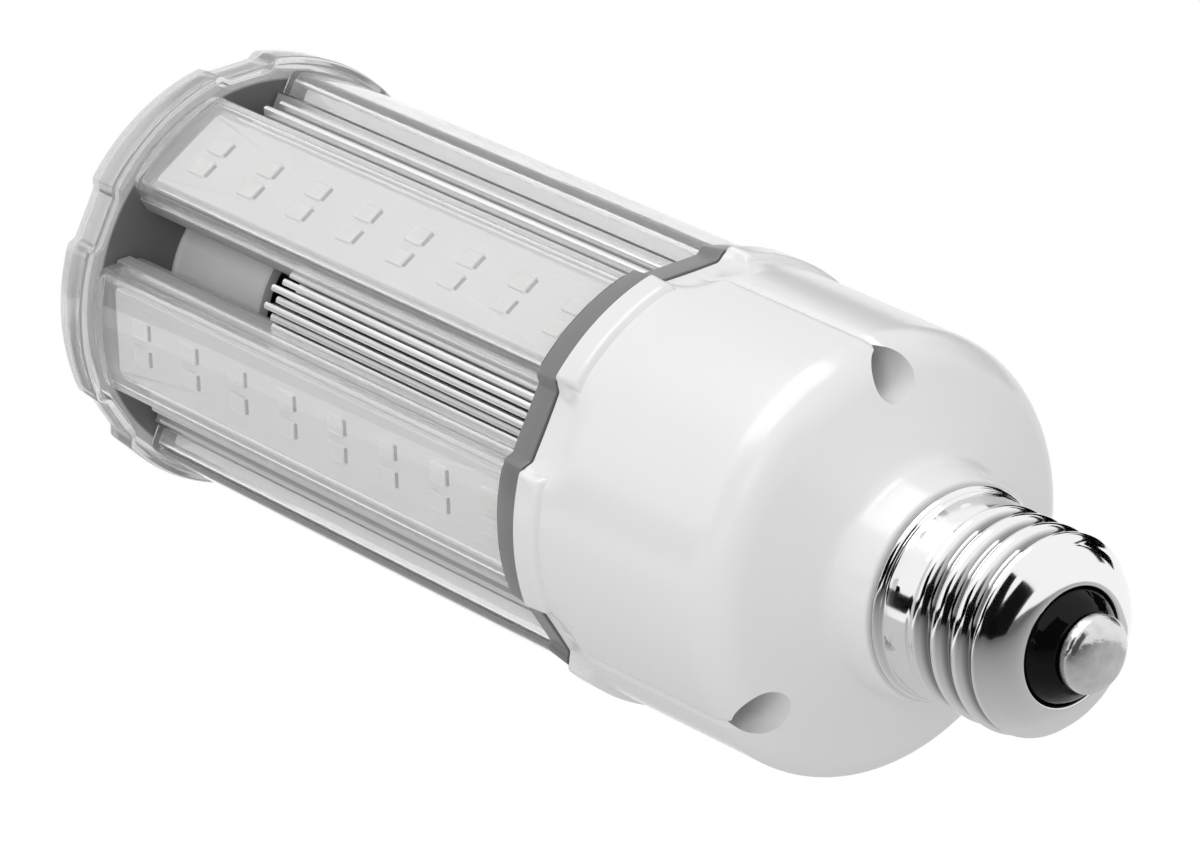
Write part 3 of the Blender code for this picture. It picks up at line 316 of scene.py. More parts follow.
def terminal_grid():
    """A tinned end terminal with its solder fillet: a wedge section in (z, x) carried across
    the package's end, and eased to nothing at both sides."""
    rows = np.array([(-0.12, -0.1), (0.38, -0.1), (0.34, 0.06), (0.16, 0.16), (-0.12, 0.26),
                     (-0.12, -0.1)]) * mm
    y = np.array([1.0, 1.0, 0.96, -0.96, -1.0, -1.0]) * terminal_half
    ease = np.array([0, 0.6, 1, 1, 0.6, 0])
    x = board_face + rows[:, 1:] * ease
    return np.stack([x, y + 0 * x, led_half_length + rows[:, :1] * np.minimum(1, 3 * ease)], axis=-1)


def join_grids(name, grids, materials, slots, wrap):
    """One mesh from many grids of quads, each with its material slot and wrapped or not."""
    points, faces, slot = [], [], []
    count = 0
    wraps = np.broadcast_to(wrap, len(grids))
    for grid, which, round_it in zip(grids, slots, wraps):
        rows, columns = grid.shape[:2]
        index = np.arange(rows * columns).reshape(rows, columns) + count
        ahead = np.roll(index, -1, axis=1)
        quads = np.stack([index[:-1], ahead[:-1], ahead[1:], index[1:]], axis=-1)
        quads = quads if round_it else quads[:, :-1]
        faces.append(quads.reshape(-1, 4))
        slot.append(np.broadcast_to(np.atleast_1d(which)[:, None] if np.ndim(which) else which,
                                    quads.shape[:2]).reshape(-1))
        points.append(grid.reshape(-1, 3))
        count += rows * columns
    mesh = bpy.data.meshes.new(name)
    mesh.from_pydata(np.vstack(points).tolist(), [], np.vstack(faces).tolist())
    for material in materials:
        mesh.materials.append(material)
    mesh.polygons.foreach_set("material_index", np.concatenate(slot).astype(np.int32))
    piece = place_mesh(name, mesh)
    mesh.set_sharp_from_angle(angle=sharp_angle)
    return piece


def turn_about_axis(grid, angle):
    """Every point turned about Z: (x cos a - y sin a, x sin a + y cos a, z)."""
    c, s = math.cos(angle), math.sin(angle)
    return grid @ np.array([[c, s, 0], [-s, c, 0], [0, 0, 1]])


package_white = moulded_finish("moulded_package_frame", "#E6E6E6", "#E0E0E0", 0.38, 0.1, 0.004)
phosphor, phosphor_tree, phosphor_shader, phosphor_place = start_material(
    "cast_phosphor_window", "#E4E4E2", 0.22, ior=1.41)
phosphor_grain = add_node(phosphor_tree, "ShaderNodeTexNoise", {"Scale": 9000.0, "Detail": 2.0},
                          {"Vector": phosphor_place})
follow_pattern(phosphor_tree, phosphor_shader, phosphor_grain.outputs["Fac"],
               tones=("#DEDEDB", "#EAEAE8"))
# Painted shade: the solder is dark grey for the shade and dark reflection on the packages' base ends, not
# in the bright tin's own colour.
solder, solder_tree, solder_shader, solder_place = start_material(
    "reflowed_solder_and_painted_shade", "#858585", 0.4, metallic=0.3)
solder_grain = add_node(solder_tree, "ShaderNodeTexNoise", {"Scale": 5000.0}, {"Vector": solder_place})
follow_pattern(solder_tree, solder_shader, solder_grain.outputs["Fac"], bump=(0.4, 0.02 * mm))

led_places = [np.array([0, y, z]) for y in led_rows for z in led_heights]
led_slots = np.array([0, 0, 0, 0, 0, 0, 1, 1, 1])
for panel in panels:
    turn = panel * panel_pitch
    board = mesh_piece(f"side_board_{panel + 1}", turn_about_axis(board_grid(), turn),
                       mask_white, wrap=True, close=(True, True))
    board.data.set_sharp_from_angle(angle=sharp_angle)
    packages = [turn_about_axis(led_grid() + place, turn) for place in led_places]
    leds = join_grids(f"side_leds_{panel + 1}", packages, [package_white, phosphor],
                      [led_slots] * len(packages), wrap=True)
    ends = [turn_about_axis(terminal_grid() + place, turn) for place in led_places]
    pads = join_grids(f"side_solder_and_shade_{panel + 1}", ends, [solder], [0] * len(ends), wrap=False)
    for piece in (board, leds, pads):
        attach(piece, "root")
    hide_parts(f"led_board_{panel + 1}")


# Fins. The extrusion has seven rounded fins in each gap, two of them tall, with
# sawn ends that are not quite level. The fins of the window start further up,
# where the duct ends.

fin_pitch_angle = 0.04884
fin_half, fin_root, fin_ease = 0.43 * mm, 21.7 * mm, 0.15 * mm
window_low, gap_low = 38.6 * mm, 11.2 * mm
fin_places = np.arange(-3, 4)
fin_tips = np.array([24.8, 24.9, 25.95, 25.2, 25.95, 24.9, 24.8]) * mm
fin_ends = np.array([0.5, -0.1, -0.5, 0.4, -0.6, 0.1, 0.6]) * mm


def fin_grid(tip, low, angle):
    """A thin bar with an eased tip: its section ring in (r, t), carried from low to the top and
    drawn in to its middle at both ends, then turned about the axis."""
    ring = np.array([(fin_root, -fin_half), (tip - fin_ease, -fin_half), (tip, -fin_ease),
                     (tip, fin_ease), (tip - fin_ease, fin_half), (fin_root, fin_half)])
    middle = ring.mean(axis=0)
    share = np.array([0, 1, 1, 0])[:, None, None]
    height = np.array([low, low, board_high, board_high])[:, None, None]
    plane = middle + share * (ring - middle)
    height = np.broadcast_to(height, (4, len(ring), 1))
    return turn_about_axis(np.concatenate([plane, height], axis=-1), angle)


for gap in panels:
    start = window_low if gap == 0 else gap_low
    fins = [fin_grid(tip, start + end, (gap + 0.5) * panel_pitch + place * fin_pitch_angle)
            for place, tip, end in zip(fin_places, fin_tips, fin_ends)]
    fan = join_grids(f"rounded_fins_{gap + 1}", fins, [bare_aluminium], [0] * len(fins), wrap=True)
    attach(fan, "root")


# Panel covers. Clear moulded polycarbonate troughs that clip over each board:
# a curved face, two side walls and a wall at the head end, all about 1.4 mm
# thick with rounded edges. They are polished, with hardly any haze.

def clear_moulding(name, colour, roughness, clear):
    """Clear polycarbonate, IOR 1.585: polished, with a slow ripple left by the mould's flow."""
    material, tree, shader, place = start_material(name, colour, roughness, ior=1.585)
    shader.inputs["Transmission Weight"].default_value = clear
    ripple = add_node(tree, "ShaderNodeTexNoise", {"Scale": 90.0, "Detail": 1.0}, {"Vector": place})
    follow_pattern(tree, shader, ripple.outputs["Fac"], bump=(0.08, 0.2 * mm))
    return material


cover_radius = 28.6 * mm
cover_half_width, cover_foot = 8.7 * mm, 24.05 * mm
cover_low, cover_high = 5.75 * mm, 92.7 * mm
cover_wall, cover_ease, inner_ease = 1.35 * mm, 1.2 * mm, 0.5 * mm
cover_depth = 5 * mm
cover_rows = [30 * mm, 60 * mm, cover_high]


def cover_skin(inset, ease):
    """One skin of a trough: the section runs up a side wall, over the arc and down the other
    side, all inset by the wall; it grows from the middle of its foot at the head end, turns a
    quarter ellipse of ease there and then runs straight along z."""
    radius, half = cover_radius - inset, cover_half_width - inset
    reach = math.asin((half - ease) / radius)
    arc = np.linspace(-reach, reach, 35)
    over = radius * np.stack([np.cos(arc), np.sin(arc)], axis=-1)
    top = math.sqrt(radius ** 2 - half ** 2)
    side = rounded_path([(cover_foot, -half), (top, -half), over[0]],
                        [min(ease, top - cover_foot)], steps=9)[:-1]
    section = np.vstack([side, over, side[::-1] * [1, -1]])
    turn = np.linspace(0, np.pi / 2, 7)
    bend = ease / cover_depth
    scale = np.concatenate([np.linspace(0, 1 - bend, 5)[:-1], 1 - bend * (1 - np.sin(turn)),
                            np.ones(len(cover_rows))])
    height = np.concatenate([np.full(4, cover_low + inset),
                             cover_low + inset + ease * (1 - np.cos(turn)), cover_rows])
    plane = np.array([cover_foot, 0]) + scale[:, None, None] * (section - [cover_foot, 0])
    height = np.broadcast_to(height[:, None, None], (*plane.shape[:2], 1))
    return np.concatenate([plane, height], axis=-1)


def cover_grids():
    """Both skins as one wrapped sheet, the outer one and then the inner one run backwards, which
    meet along the feet; and the strip that closes them at the base end."""
    outer, inner = cover_skin(0, cover_ease), cover_skin(cover_wall, inner_ease)
    return np.concatenate([outer, inner[:, ::-1]], axis=1), np.stack([outer[-1], inner[-1]])


clear_cover = clear_moulding("moulded_clear_polycarbonate", "#FBFBFB", 0.03, 0.9)
for panel in panels:
    skins = [turn_about_axis(grid, panel * panel_pitch) for grid in cover_grids()]
    trough = join_grids(f"clear_cover_{panel + 1}", skins, [clear_cover], [0, 0], wrap=(True, False))
    trough.visible_shadow = False
    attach(trough, "root")
    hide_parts(f"panel_cover_{panel + 1}")


# End cap. A clear moulded cap over the head, slightly hazy: a flat face, and a
# rim that swells over each panel and dips in the gaps. The rim's edges are
# rounded and catch the light.

lobe_step = math.radians(2.6)


def from_panel(angle):
    """The angle to the middle of the nearest panel."""
    return np.abs((angle + panel_pitch / 2) % panel_pitch - panel_pitch / 2)


def lobe_dip(angle, half, softness=1.0):
    """0 over a panel and 1 in a gap: a smooth step of the angle from the nearest panel about
    half, over lobe_step times softness."""
    t = np.clip((from_panel(angle) - half) / (lobe_step * softness) + 0.5, 0, 1)
    return t * t * (3 - 2 * t)


def gap_bow(angle, half):
    """How far a straight chord across a gap lies below a circle: 1 at the gap's middle and 0 at
    its ends, by 1 - t^2."""
    off = from_panel(angle)
    t = np.clip((panel_pitch / 2 - off) / (panel_pitch / 2 - half), 0, 1)
    return np.where(off > half, 1 - t * t, 0)


def lobed_grid(profile, columns, half, step, bow, softness=1.0):
    """A profile of (r, z, share) carried round the axis at r - share (step dip + bow)."""
    angle = np.linspace(0, 2 * np.pi, columns, endpoint=False)
    r, z, share = (profile[:, i, None] for i in range(3))
    radius = r - share * (step * lobe_dip(angle, half, softness) + bow * gap_bow(angle, half))
    return np.stack([radius * np.cos(angle), radius * np.sin(angle), z + 0 * angle], axis=-1)


cap_face, cap_wall = 1.2 * mm, 1.25 * mm
cap_head, cap_mouth, cap_height = 29.8 * mm, 30.3 * mm, 5.7 * mm
cap_lobe, cap_step, cap_bow = math.radians(21.9), 0.85 * mm, 0.3 * mm
cap_full_share = 20 * mm
cap_path = rounded_path(
    [(0, 0), (cap_head, 0), (cap_mouth, cap_height), (cap_mouth - cap_wall, cap_height),
     (cap_head - cap_wall, cap_face), (0, cap_face)],
    [0.7 * mm, 0.45 * mm, 0.45 * mm, 0.3 * mm])
cap_profile = np.column_stack([cap_path, np.clip(cap_path[:, 0] / cap_full_share, 0, 1)])
clear_cap = clear_moulding("moulded_clear_cap", "#DEDEDE", 0.1, 0.82)
cap = mesh_piece("clear_end_cap", lobed_grid(cap_profile, 480, cap_lobe, cap_step, cap_bow),
                 clear_cap, wrap=True)
cap.visible_shadow = False
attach(cap, "root")
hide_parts("end_cap")


# Collar. A satin grey moulded ring between the panels and the housing. It
# flares towards the housing, swells over each panel and steps down about a
# millimetre to a nearly straight run in each gap.

collar_low, collar_high = 93.0 * mm, 97.1 * mm
collar_head, collar_base, collar_bore = 28.8 * mm, 29.35 * mm, 22.8 * mm
rim_lobe, rim_step = math.radians(19.5), 1.1 * mm
collar_bow, collar_softness = 0.5 * mm, 0.8
collar_path = rounded_path(
    [(collar_bore, collar_low), (collar_head, collar_low), (collar_base, collar_high),
     (collar_bore, collar_high), (collar_bore, collar_low)], [0.25 * mm, 0.2 * mm, 0.1 * mm], steps=5)
collar_share = (collar_path[:, 0] - collar_bore) / (collar_base - collar_bore)
collar_grey = moulded_finish("moulded_satin_grey_collar", "#808080", "#7A7A7A", 0.3, 0.3, 0.008)
collar = mesh_piece("grey_collar",
                    lobed_grid(np.column_stack([collar_path, collar_share]), 720, rim_lobe,
                               rim_step, collar_bow, collar_softness), collar_grey, wrap=True)
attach(collar, "root")
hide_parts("collar")


# Driver. A green glass-fibre board slides into two rails in the housing, with a
# wound transformer, two capacitors in shrunk sleeves and smaller parts soldered
# to it. None of it shows unless the housing is taken off.

board_green = moulded_finish("laminated_green_board", "#23623A", "#1D5531", 0.35, 0.8, 0.01)
ferrite_black = moulded_finish("pressed_ferrite", "#3A3B3E", "#323336", 0.6, 0.15, 0.02)
sleeve_blue = moulded_finish("shrunk_sleeve", "#20283F", "#1B2236", 0.3, 1.0, 0.006)
film_amber = moulded_finish("dipped_film_capacitor", "#B48A32", "#A67D2B", 0.35, 0.5, 0.02)
epoxy_black = moulded_finish("moulded_black_epoxy", "#2A2A2B", "#242425", 0.5, 0.12, 0.01)
winding_copper = moulded_finish("varnished_winding", "#B0613A", "#8E4A2B", 0.35, 0.3, 0.04)
lead_red = moulded_finish("red_lead_jacket", "#B3241F", "#A5201C", 0.35, 0.3, 0.01)
lead_white = moulded_finish("white_lead_jacket", "#DCDCDA", "#D2D2D0", 0.35, 0.3, 0.01)
for name, finish in (("driver_board", board_green), ("transformer", ferrite_black),
                     ("input_capacitor", sleeve_blue), ("output_capacitor", sleeve_blue),
                     ("film_capacitor", film_amber), ("rectifier", epoxy_black),
                     ("inductor", winding_copper), ("contact_lead", lead_red),
                     ("shell_lead", lead_white), ("led_lead_positive", lead_red),
                     ("led_lead_negative", lead_white)):
    paint_node(name, finish)


# Housing. One glossy white moulding: a rim that follows the collar, six raised
# pads, a slightly drafted body, a rounded shoulder, a shallow cone and a neck.
# Three deep screw bores open in the shoulder, and a shallow crease runs to each.

housing_low, housing_radius, housing_inside = 97.4 * mm, 29.1 * mm, 27.0 * mm
housing_draft, draft_low, draft_run = 0.1 * mm, 108 * mm, 20 * mm
fine_rows_high = 106 * mm
shoulder_low, shoulder_round, shoulder_turn = 129.65 * mm, 6.5 * mm, math.radians(68)
cone_foot = np.array([15.0, 139.65]) * mm
neck_radius, neck_top = 14.35 * mm, 145.6 * mm
spigot_radius, spigot_bore, spigot_top = 12.4 * mm, 10.4 * mm, neck_top + 5.8 * mm
body_rows, inner_rows = 46, 60
rim_fade_run, housing_bow = 8.5 * mm, 0.55 * mm
pad_height, pad_top, pad_half = 0.85 * mm, 101.5 * mm, math.radians(18.4) * housing_radius
pad_side_edge, pad_top_edge, pad_foot_edge = 0.6 * mm, 0.7 * mm, 0.35 * mm
bore_angles = np.radians([-30, 90, 210])
bore_circle, bore_radius, bore_low, bore_high = 25.2 * mm, 3.1 * mm, 106.1 * mm, 142 * mm
post_circle, post_radius, post_low, post_cover = 24.2 * mm, 4.0 * mm, 103.1 * mm, 1 * mm
hole_radius, hole_low, hole_high = 1.7 * mm, 96 * mm, 107 * mm
crease_depth, crease_half, crease_low, crease_run = 0.42 * mm, 0.5 * mm, 98.5 * mm, 4 * mm
crease_high, crease_reach = 135.8 * mm, 22.3 * mm


def housing_profile():
    """(r, z) up the body, round the shoulder by r = c + R cos a, z = s + R sin a for a to 68
    degrees, up the cone to the neck and the spigot, and back down the inside to the rim."""
    body_z = np.concatenate([np.linspace(housing_low, fine_rows_high, body_rows - 12),
                             np.linspace(draft_low, shoulder_low, 12)])
    draft = housing_draft * np.clip((body_z - draft_low) / draft_run, 0, 1)
    body = np.stack([housing_radius - draft, body_z], axis=-1)
    turn = np.linspace(0, shoulder_turn, 26)[1:]
    shoulder = np.stack([housing_radius - housing_draft - shoulder_round * (1 - np.cos(turn)),
                         shoulder_low + shoulder_round * np.sin(turn)], axis=-1)
    start = shoulder[-1]
    cone = start + np.linspace(0, 1, 14)[1:-1, None] * (cone_foot - start)
    neck = rounded_path(
        [cone[-1], cone_foot, (neck_radius, neck_top), (spigot_radius, neck_top),
         (spigot_radius, spigot_top), (spigot_bore, spigot_top), (spigot_bore, cone_foot[1] - 2 * mm),
         (22.0 * mm, shoulder_low + 3.5 * mm), (housing_inside, shoulder_low - 2 * mm),
         (housing_inside, fine_rows_high), (25.4 * mm, housing_low), (housing_radius, housing_low)],
        [1.4 * mm, 0.45 * mm, 0.2 * mm, 0.2 * mm, 0.2 * mm, 0.2 * mm, 2 * mm, 2 * mm, 1 * mm, 0],
        steps=8)
    return np.vstack([body, shoulder, cone[:-1], neck])


def housing_grid(columns):
    """The profile carried round the axis. Outside, r loses the collar's dips, which soften and
    fade with height; gains the height of six pads, a product of two rounded steps; and loses
    three creases, each a bell curve across a bore's angle."""
    profile = housing_profile()
    angle = np.linspace(0, 2 * np.pi, columns, endpoint=False)[None]
    r, z = profile[:, :1], profile[:, 1:]
    outside = (np.arange(len(profile)) < len(profile) - inner_rows)[:, None]
    outside = outside * (z < crease_high) * (r > crease_reach)
    outside[-1] = outside[0]
    fade = 1 - np.clip((z - housing_low) / rim_fade_run, 0, 1) ** 1.5
    fade = fade * fade * (3 - 2 * fade)
    softness = 1 + 6 * (z - housing_low) / (8 * mm)
    dip = rim_step * lobe_dip(angle, rim_lobe, softness) + housing_bow * gap_bow(angle, rim_lobe)
    across = np.clip((pad_half - from_panel(angle) * housing_radius) / pad_side_edge, 0, 1)
    along = np.clip((pad_top - z) / pad_top_edge, 0, 1)
    along = along * np.clip((z - housing_low) / pad_foot_edge + 0.45, 0, 1)
    pad = pad_height * np.sqrt(1 - (1 - across) ** 2) * np.sqrt(1 - (1 - along) ** 2)
    near = (angle - bore_angles[:, None] + np.pi) % (2 * np.pi) - np.pi
    near = np.min(np.abs(near), axis=0)[None]
    crease = crease_depth * np.exp(-(near * housing_radius / crease_half) ** 2)
    crease = crease * np.clip((z - crease_low) / crease_run, 0, 1)
    radius = r + outside * (pad - fade * dip - crease)
    return np.stack([radius * np.cos(angle), radius * np.sin(angle), z + 0 * angle], axis=-1)


def round_bar(name, radius, low, high, angle, circle=bore_circle, columns=48):
    """An upright bar centred on a circle round the axis; with no height of its own it ends a
    little under the housing's outside, found from the profile at each point's radius."""
    grid = turned_grid(np.array([(radius, low), (radius, high or low)]), columns)
    grid = grid + np.array([circle * math.cos(angle), circle * math.sin(angle), 0])
    if high is None:
        roof = housing_profile()[82:body_rows - 1:-1]
        reach = np.hypot(grid[1, :, 0], grid[1, :, 1])
        grid[1, :, 2] = np.interp(reach, roof[:, 0], roof[:, 1]) - post_cover
    return mesh_piece(name, grid, gloss_white, wrap=True, close=(True, True))


gloss_white = moulded_finish("moulded_glossy_white_housing", "#F5F5F5", "#F3F3F3", 0.2, 1.2, 0.004,
                             ior=1.53)
housing = mesh_piece("white_housing", housing_grid(600), gloss_white, wrap=True)
bars = []
for angle in bore_angles:
    post = round_bar("bore_post", post_radius, post_low, None, angle, post_circle)
    bore = round_bar("bore_cut", bore_radius, bore_low, bore_high, angle, columns=72)
    hole = round_bar("hole_cut", hole_radius, hole_low, hole_high, angle, columns=24)
    for bar, operation in ((post, "UNION"), (bore, "DIFFERENCE"), (hole, "DIFFERENCE")):
        cut = housing.modifiers.new(bar.name, "BOOLEAN")
        cut.object = bar
        cut.operation = operation
        cut.solver = "EXACT"
        bars.append(bar)
carved = bpy.data.meshes.new_from_object(housing.evaluated_get(bpy.context.evaluated_depsgraph_get()))
housing.modifiers.clear()
carved_work = bmesh.new()
carved_work.from_mesh(carved)
bmesh.ops.remove_doubles(carved_work, verts=carved_work.verts, dist=1e-6)
bmesh.ops.dissolve_degenerate(carved_work, dist=1e-7, edges=carved_work.edges)
open_edges = [edge for edge in carved_work.edges if edge.is_boundary]
bmesh.ops.holes_fill(carved_work, edges=open_edges, sides=0)
carved_work.to_mesh(carved)
carved_work.free()
housing.data = carved
carved.shade_smooth()
carved.set_sharp_from_angle(angle=math.radians(40))
for bar in bars:
    bpy.data.objects.remove(bar)
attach(housing, "root")
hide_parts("housing")


# Housing screws. Zinc plated pan-head screws deep in the three bores, which
# hold the housing to the collar. The plating is dull, with a faint cloud.

zinc, zinc_tree, zinc_shader, zinc_place = start_material(
    "zinc_plated_screw", "#B4B5B6", 0.35, metallic=1.0)
zinc_cloud = add_node(zinc_tree, "ShaderNodeTexNoise", {"Scale": 800.0}, {"Vector": zinc_place})
follow_pattern(zinc_tree, zinc_shader, zinc_cloud.outputs["Fac"], gloss=(0.25, 0.45))
for number in (1, 2, 3):
    paint_node(f"housing_screw_{number}", zinc)


# Screw shell. Brass sheet pressed to the medium screw thread and nickel plated: a
# rolled rim, a plain skirt with a ring of punch marks, a little over three rounded
# turns and a turned-in end. It is bright, with faint drawing marks, and its thread's
# valleys are painted darker as shade and dark reflection.

shell_low, shell_high, shell_sheet = 145.9 * mm, 166.6 * mm, 0.25 * mm
skirt_radius, mouth_radius, dome_power = 13.05 * mm, 7.8 * mm, 1.2
thread_pitch, wave_power = 3.63 * mm, 2.6
crest_radius, thread_depth = 13.1 * mm, 0.9 * mm
thread_low, thread_high, dome_low = 151.25 * mm, 163.4 * mm, 162.7 * mm
thread_rise, thread_fall, thread_over = 1.6 * mm, 1.8 * mm, 1.1 * mm
crest_height, crest_angle = 152.35 * mm, math.radians(24.4)
punch_height, punch_angles = 148.65 * mm, np.radians(3.4 + 30 * np.arange(12))
punch_circle, punch_half, punch_rise, punch_pit = 13 * mm, 0.34 * mm, 0.16 * mm, 0.1 * mm
# Painted shade in the thread's valleys: full below the first reach and height, none above the second.
valley_shade_deep, valley_shade_edge = crest_radius - 0.85 * mm, crest_radius - 0.35 * mm
dome_shade_fade_low, dome_shade_fade_high = dome_low - 0.9 * mm, dome_low + 0.5 * mm


def shell_grid(rows, columns):
    """r(z, a) = plain radius + half the depth times w, where w = 1 - 2 sin^2.6 of half the
    phase, the phase grows one turn per pitch and falls one turn per round, and the thread fades
    in and out over about half a turn. The ends follow a rounded rim and a dome, and each punch
    mark is a bell curve with a smaller one taken out of it."""
    mean = crest_radius - thread_depth / 2
    rim = rounded_path([(13.2 * mm, shell_low), (13.85 * mm, shell_low + 0.25 * mm),
                        (13.55 * mm, shell_low + 1.0 * mm), (skirt_radius, shell_low + 1.25 * mm),
                        (skirt_radius, thread_low - 0.6 * mm)],
                       [0.3 * mm, 0.35 * mm, 0.35 * mm], steps=7)
    skirt = np.stack([np.full(18, skirt_radius),
                      np.linspace(shell_low + 1.7 * mm, thread_low, 18)], axis=-1)
    thread = np.stack([np.full(rows, skirt_radius), np.linspace(thread_low, dome_low, rows)], axis=-1)
    turn = np.linspace(0, np.pi / 2, 30)[1:]
    dome = np.stack([mouth_radius + (mean - mouth_radius) * np.cos(turn) ** dome_power,
                     dome_low + (shell_high - dome_low) * np.sin(turn) ** dome_power], axis=-1)
    mouth = np.array([(7.7, 166.55), (7.55, 166.3), (7.6, 165.9)]) * mm
    profile = np.vstack([rim[:-1], skirt, thread[1:], dome, mouth])
    r, z = profile[:, :1], profile[:, 1:]
    a = np.linspace(0, 2 * np.pi, columns, endpoint=False)[None]
    phase = (z - crest_height) / thread_pitch - (a - crest_angle) / (2 * np.pi)
    wave = 1 - 2 * np.abs(np.sin(np.pi * phase)) ** wave_power
    rise = np.clip((z - thread_low) / thread_rise, 0, 1)
    fade = rise * np.clip((thread_high + thread_over - z) / thread_fall, 0, 1)
    fade, rise = fade * fade * (3 - 2 * fade), rise * rise * (3 - 2 * rise)
    radius = r + rise * np.minimum(mean - r, 0) + fade * thread_depth / 2 * wave
    near = (a - punch_angles[:, None, None] + np.pi) % (2 * np.pi) - np.pi
    spot = ((near * punch_circle) ** 2 + (z[None] - punch_height) ** 2) / punch_half ** 2
    radius = radius + np.sum(punch_rise * np.exp(-spot) - punch_pit * np.exp(-spot * 4), axis=0)
    return np.stack([radius * np.cos(a), radius * np.sin(a), z + 0 * a], axis=-1)


nickel, nickel_tree, nickel_shader, nickel_place = start_material(
    "drawn_nickel_plated_shell", "#F0F0F0", 0.07, metallic=1.0)
nickel_rings = add_node(nickel_tree, "ShaderNodeMapping", {"Scale": (60.0, 60.0, 3500.0)},
                        {"Vector": nickel_place})
nickel_marks = add_node(nickel_tree, "ShaderNodeTexNoise", {"Scale": 1.0, "Detail": 3.0},
                        {"Vector": nickel_rings.outputs["Vector"]})
nickel_cloud = add_node(nickel_tree, "ShaderNodeTexNoise", {"Scale": 250.0, "Detail": 3.0},
                        {"Vector": nickel_place})
nickel_reach, nickel_height = add_reach(nickel_tree, nickel_place)
# Painted shade and reflection: the colour goes from #F0F0F0 on the crests to #8E8E8E deep in the valleys,
# by distance from the axis, and stays clean on the dome.
nickel_valley_shade = add_node(nickel_tree, "ShaderNodeMapRange",
                        {"From Min": valley_shade_deep, "From Max": valley_shade_edge}, {"Value": nickel_reach})
nickel_dome_unshaded = add_node(nickel_tree, "ShaderNodeMapRange",
                      {"From Min": dome_shade_fade_low, "From Max": dome_shade_fade_high}, {"Value": nickel_height})
nickel_unshaded = add_node(nickel_tree, "ShaderNodeMath", {"operation": "MAXIMUM"},
                        {0: nickel_valley_shade.outputs["Result"], 1: nickel_dome_unshaded.outputs["Result"]})
follow_pattern(nickel_tree, nickel_shader, nickel_unshaded.outputs[0], tones=("#8E8E8E", "#F0F0F0"))
follow_pattern(nickel_tree, nickel_shader, nickel_cloud.outputs["Fac"], gloss=(0.05, 0.14))
follow_pattern(nickel_tree, nickel_shader, nickel_marks.outputs["Fac"], bump=(0.12, 0.02 * mm))
shell = mesh_piece("nickel_shell", shell_grid(104, 256), nickel, wrap=True)
sheet = shell.modifiers.new("sheet", "SOLIDIFY")
sheet.thickness = shell_sheet
sheet.offset = -1
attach(shell, "root")
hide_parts("screw_shell")


# Insulator. Black glass, poured hot into the end of the shell round the contact
# and left fire-polished: a shallow cone with a rounded foot and a few ripples.

glass_black, glass_tree, glass_shader, glass_place = start_material(
    "poured_black_glass", "#0A0A0B", 0.05, ior=1.28)
glass_flow = add_node(glass_tree, "ShaderNodeTexNoise", {"Scale": 420.0, "Detail": 2.0},
                      {"Vector": glass_place})
follow_pattern(glass_tree, glass_shader, glass_flow.outputs["Fac"], bump=(0.5, 0.25 * mm))
insulator_bore, insulator_foot, insulator_top = 1.5 * mm, 162.3 * mm, 168.9 * mm
insulator_path = rounded_path(
    [(insulator_bore, insulator_foot), (7.4 * mm, insulator_foot), (7.4 * mm, 166.3 * mm),
     (6.6 * mm, 167.5 * mm), (5.2 * mm, insulator_top), (insulator_bore, insulator_top),
     (insulator_bore, insulator_foot)],
    [0.3 * mm, 0.5 * mm, 0.6 * mm, 0.3 * mm, 0.1 * mm])
insulator = mesh_piece("black_insulator", turned_grid(insulator_path, columns=128), glass_black,
                       wrap=True)
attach(insulator, "root")
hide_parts("shell_insulator")


# Centre contact. A brass rivet with a thick cap of solder: a short cylinder with
# a low dome, frozen 0.35 mm off the axis. It is silvery, with a mottled skin.

shank_radius, shank_low = 1.2 * mm, 162.7 * mm
contact_radius, contact_low, contact_side = 5.0 * mm, 169.2 * mm, 170.1 * mm
dome_foot, dome_rise, contact_top = 170.2 * mm, 1.8 * mm, 172.0 * mm
contact_shift = 0.35 * mm
contact_foot = rounded_path(
    [(0, shank_low), (shank_radius, shank_low), (shank_radius, contact_low),
     (contact_radius, contact_low), (contact_radius, contact_side)],
    [0.1 * mm, 0.1 * mm, 0.3 * mm], steps=8)
contact_turn = np.linspace(0, np.pi / 2, 24)[:, None]
contact_cap = np.hstack([shank_radius + (contact_radius - shank_radius) * np.cos(contact_turn),
                         dome_foot + dome_rise * np.sin(contact_turn)])
contact_path = np.vstack([contact_foot, contact_cap, [(0, contact_top)]])
contact_grid = turned_grid(contact_path, columns=96)
contact_grid[..., 1] -= np.where(contact_grid[..., 2] > contact_low - 0.1 * mm, contact_shift, 0)
tin, tin_tree, tin_shader, tin_place = start_material(
    "frozen_solder_cap", "#D8D8D8", 0.16, metallic=0.9)
tin_mottle = add_node(tin_tree, "ShaderNodeTexNoise", {"Scale": 420.0, "Detail": 5.0},
                      {"Vector": tin_place})
follow_pattern(tin_tree, tin_shader, tin_mottle.outputs["Fac"], tones=("#C0C0C0", "#F6F6F6"),
               gloss=(0.06, 0.26), bump=(0.5, 0.22 * mm))
contact = mesh_piece("solder_contact", contact_grid, tin, wrap=True)
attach(contact, "root")
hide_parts("centre_contact")


# Studio. A white floor, an even white room, a large soft box high on the picture's
# left and a small fill by the camera. A grey table card that darkens towards the
# camera and black flags, seen only in reflections, give the metal its dark streaks.

picture_right = np.array([-0.416866, -0.650469, 0.634911])
picture_down = np.array([-0.648378, 0.702331, 0.293832])
picture_depth = np.array([-0.637047, -0.289174, -0.714528])
picture_axes = np.array([picture_right, picture_down, picture_depth])
camera_place = np.array([548.410, 247.970, 692.196]) * mm
focus = np.array([0, 0, 0.09])
floor_reach, floor_seen, floor_glow = 3, 0.86, 1.08
room_light, room_white = 0.6, 1.02
card_near, card_far = -2.2, 0.4

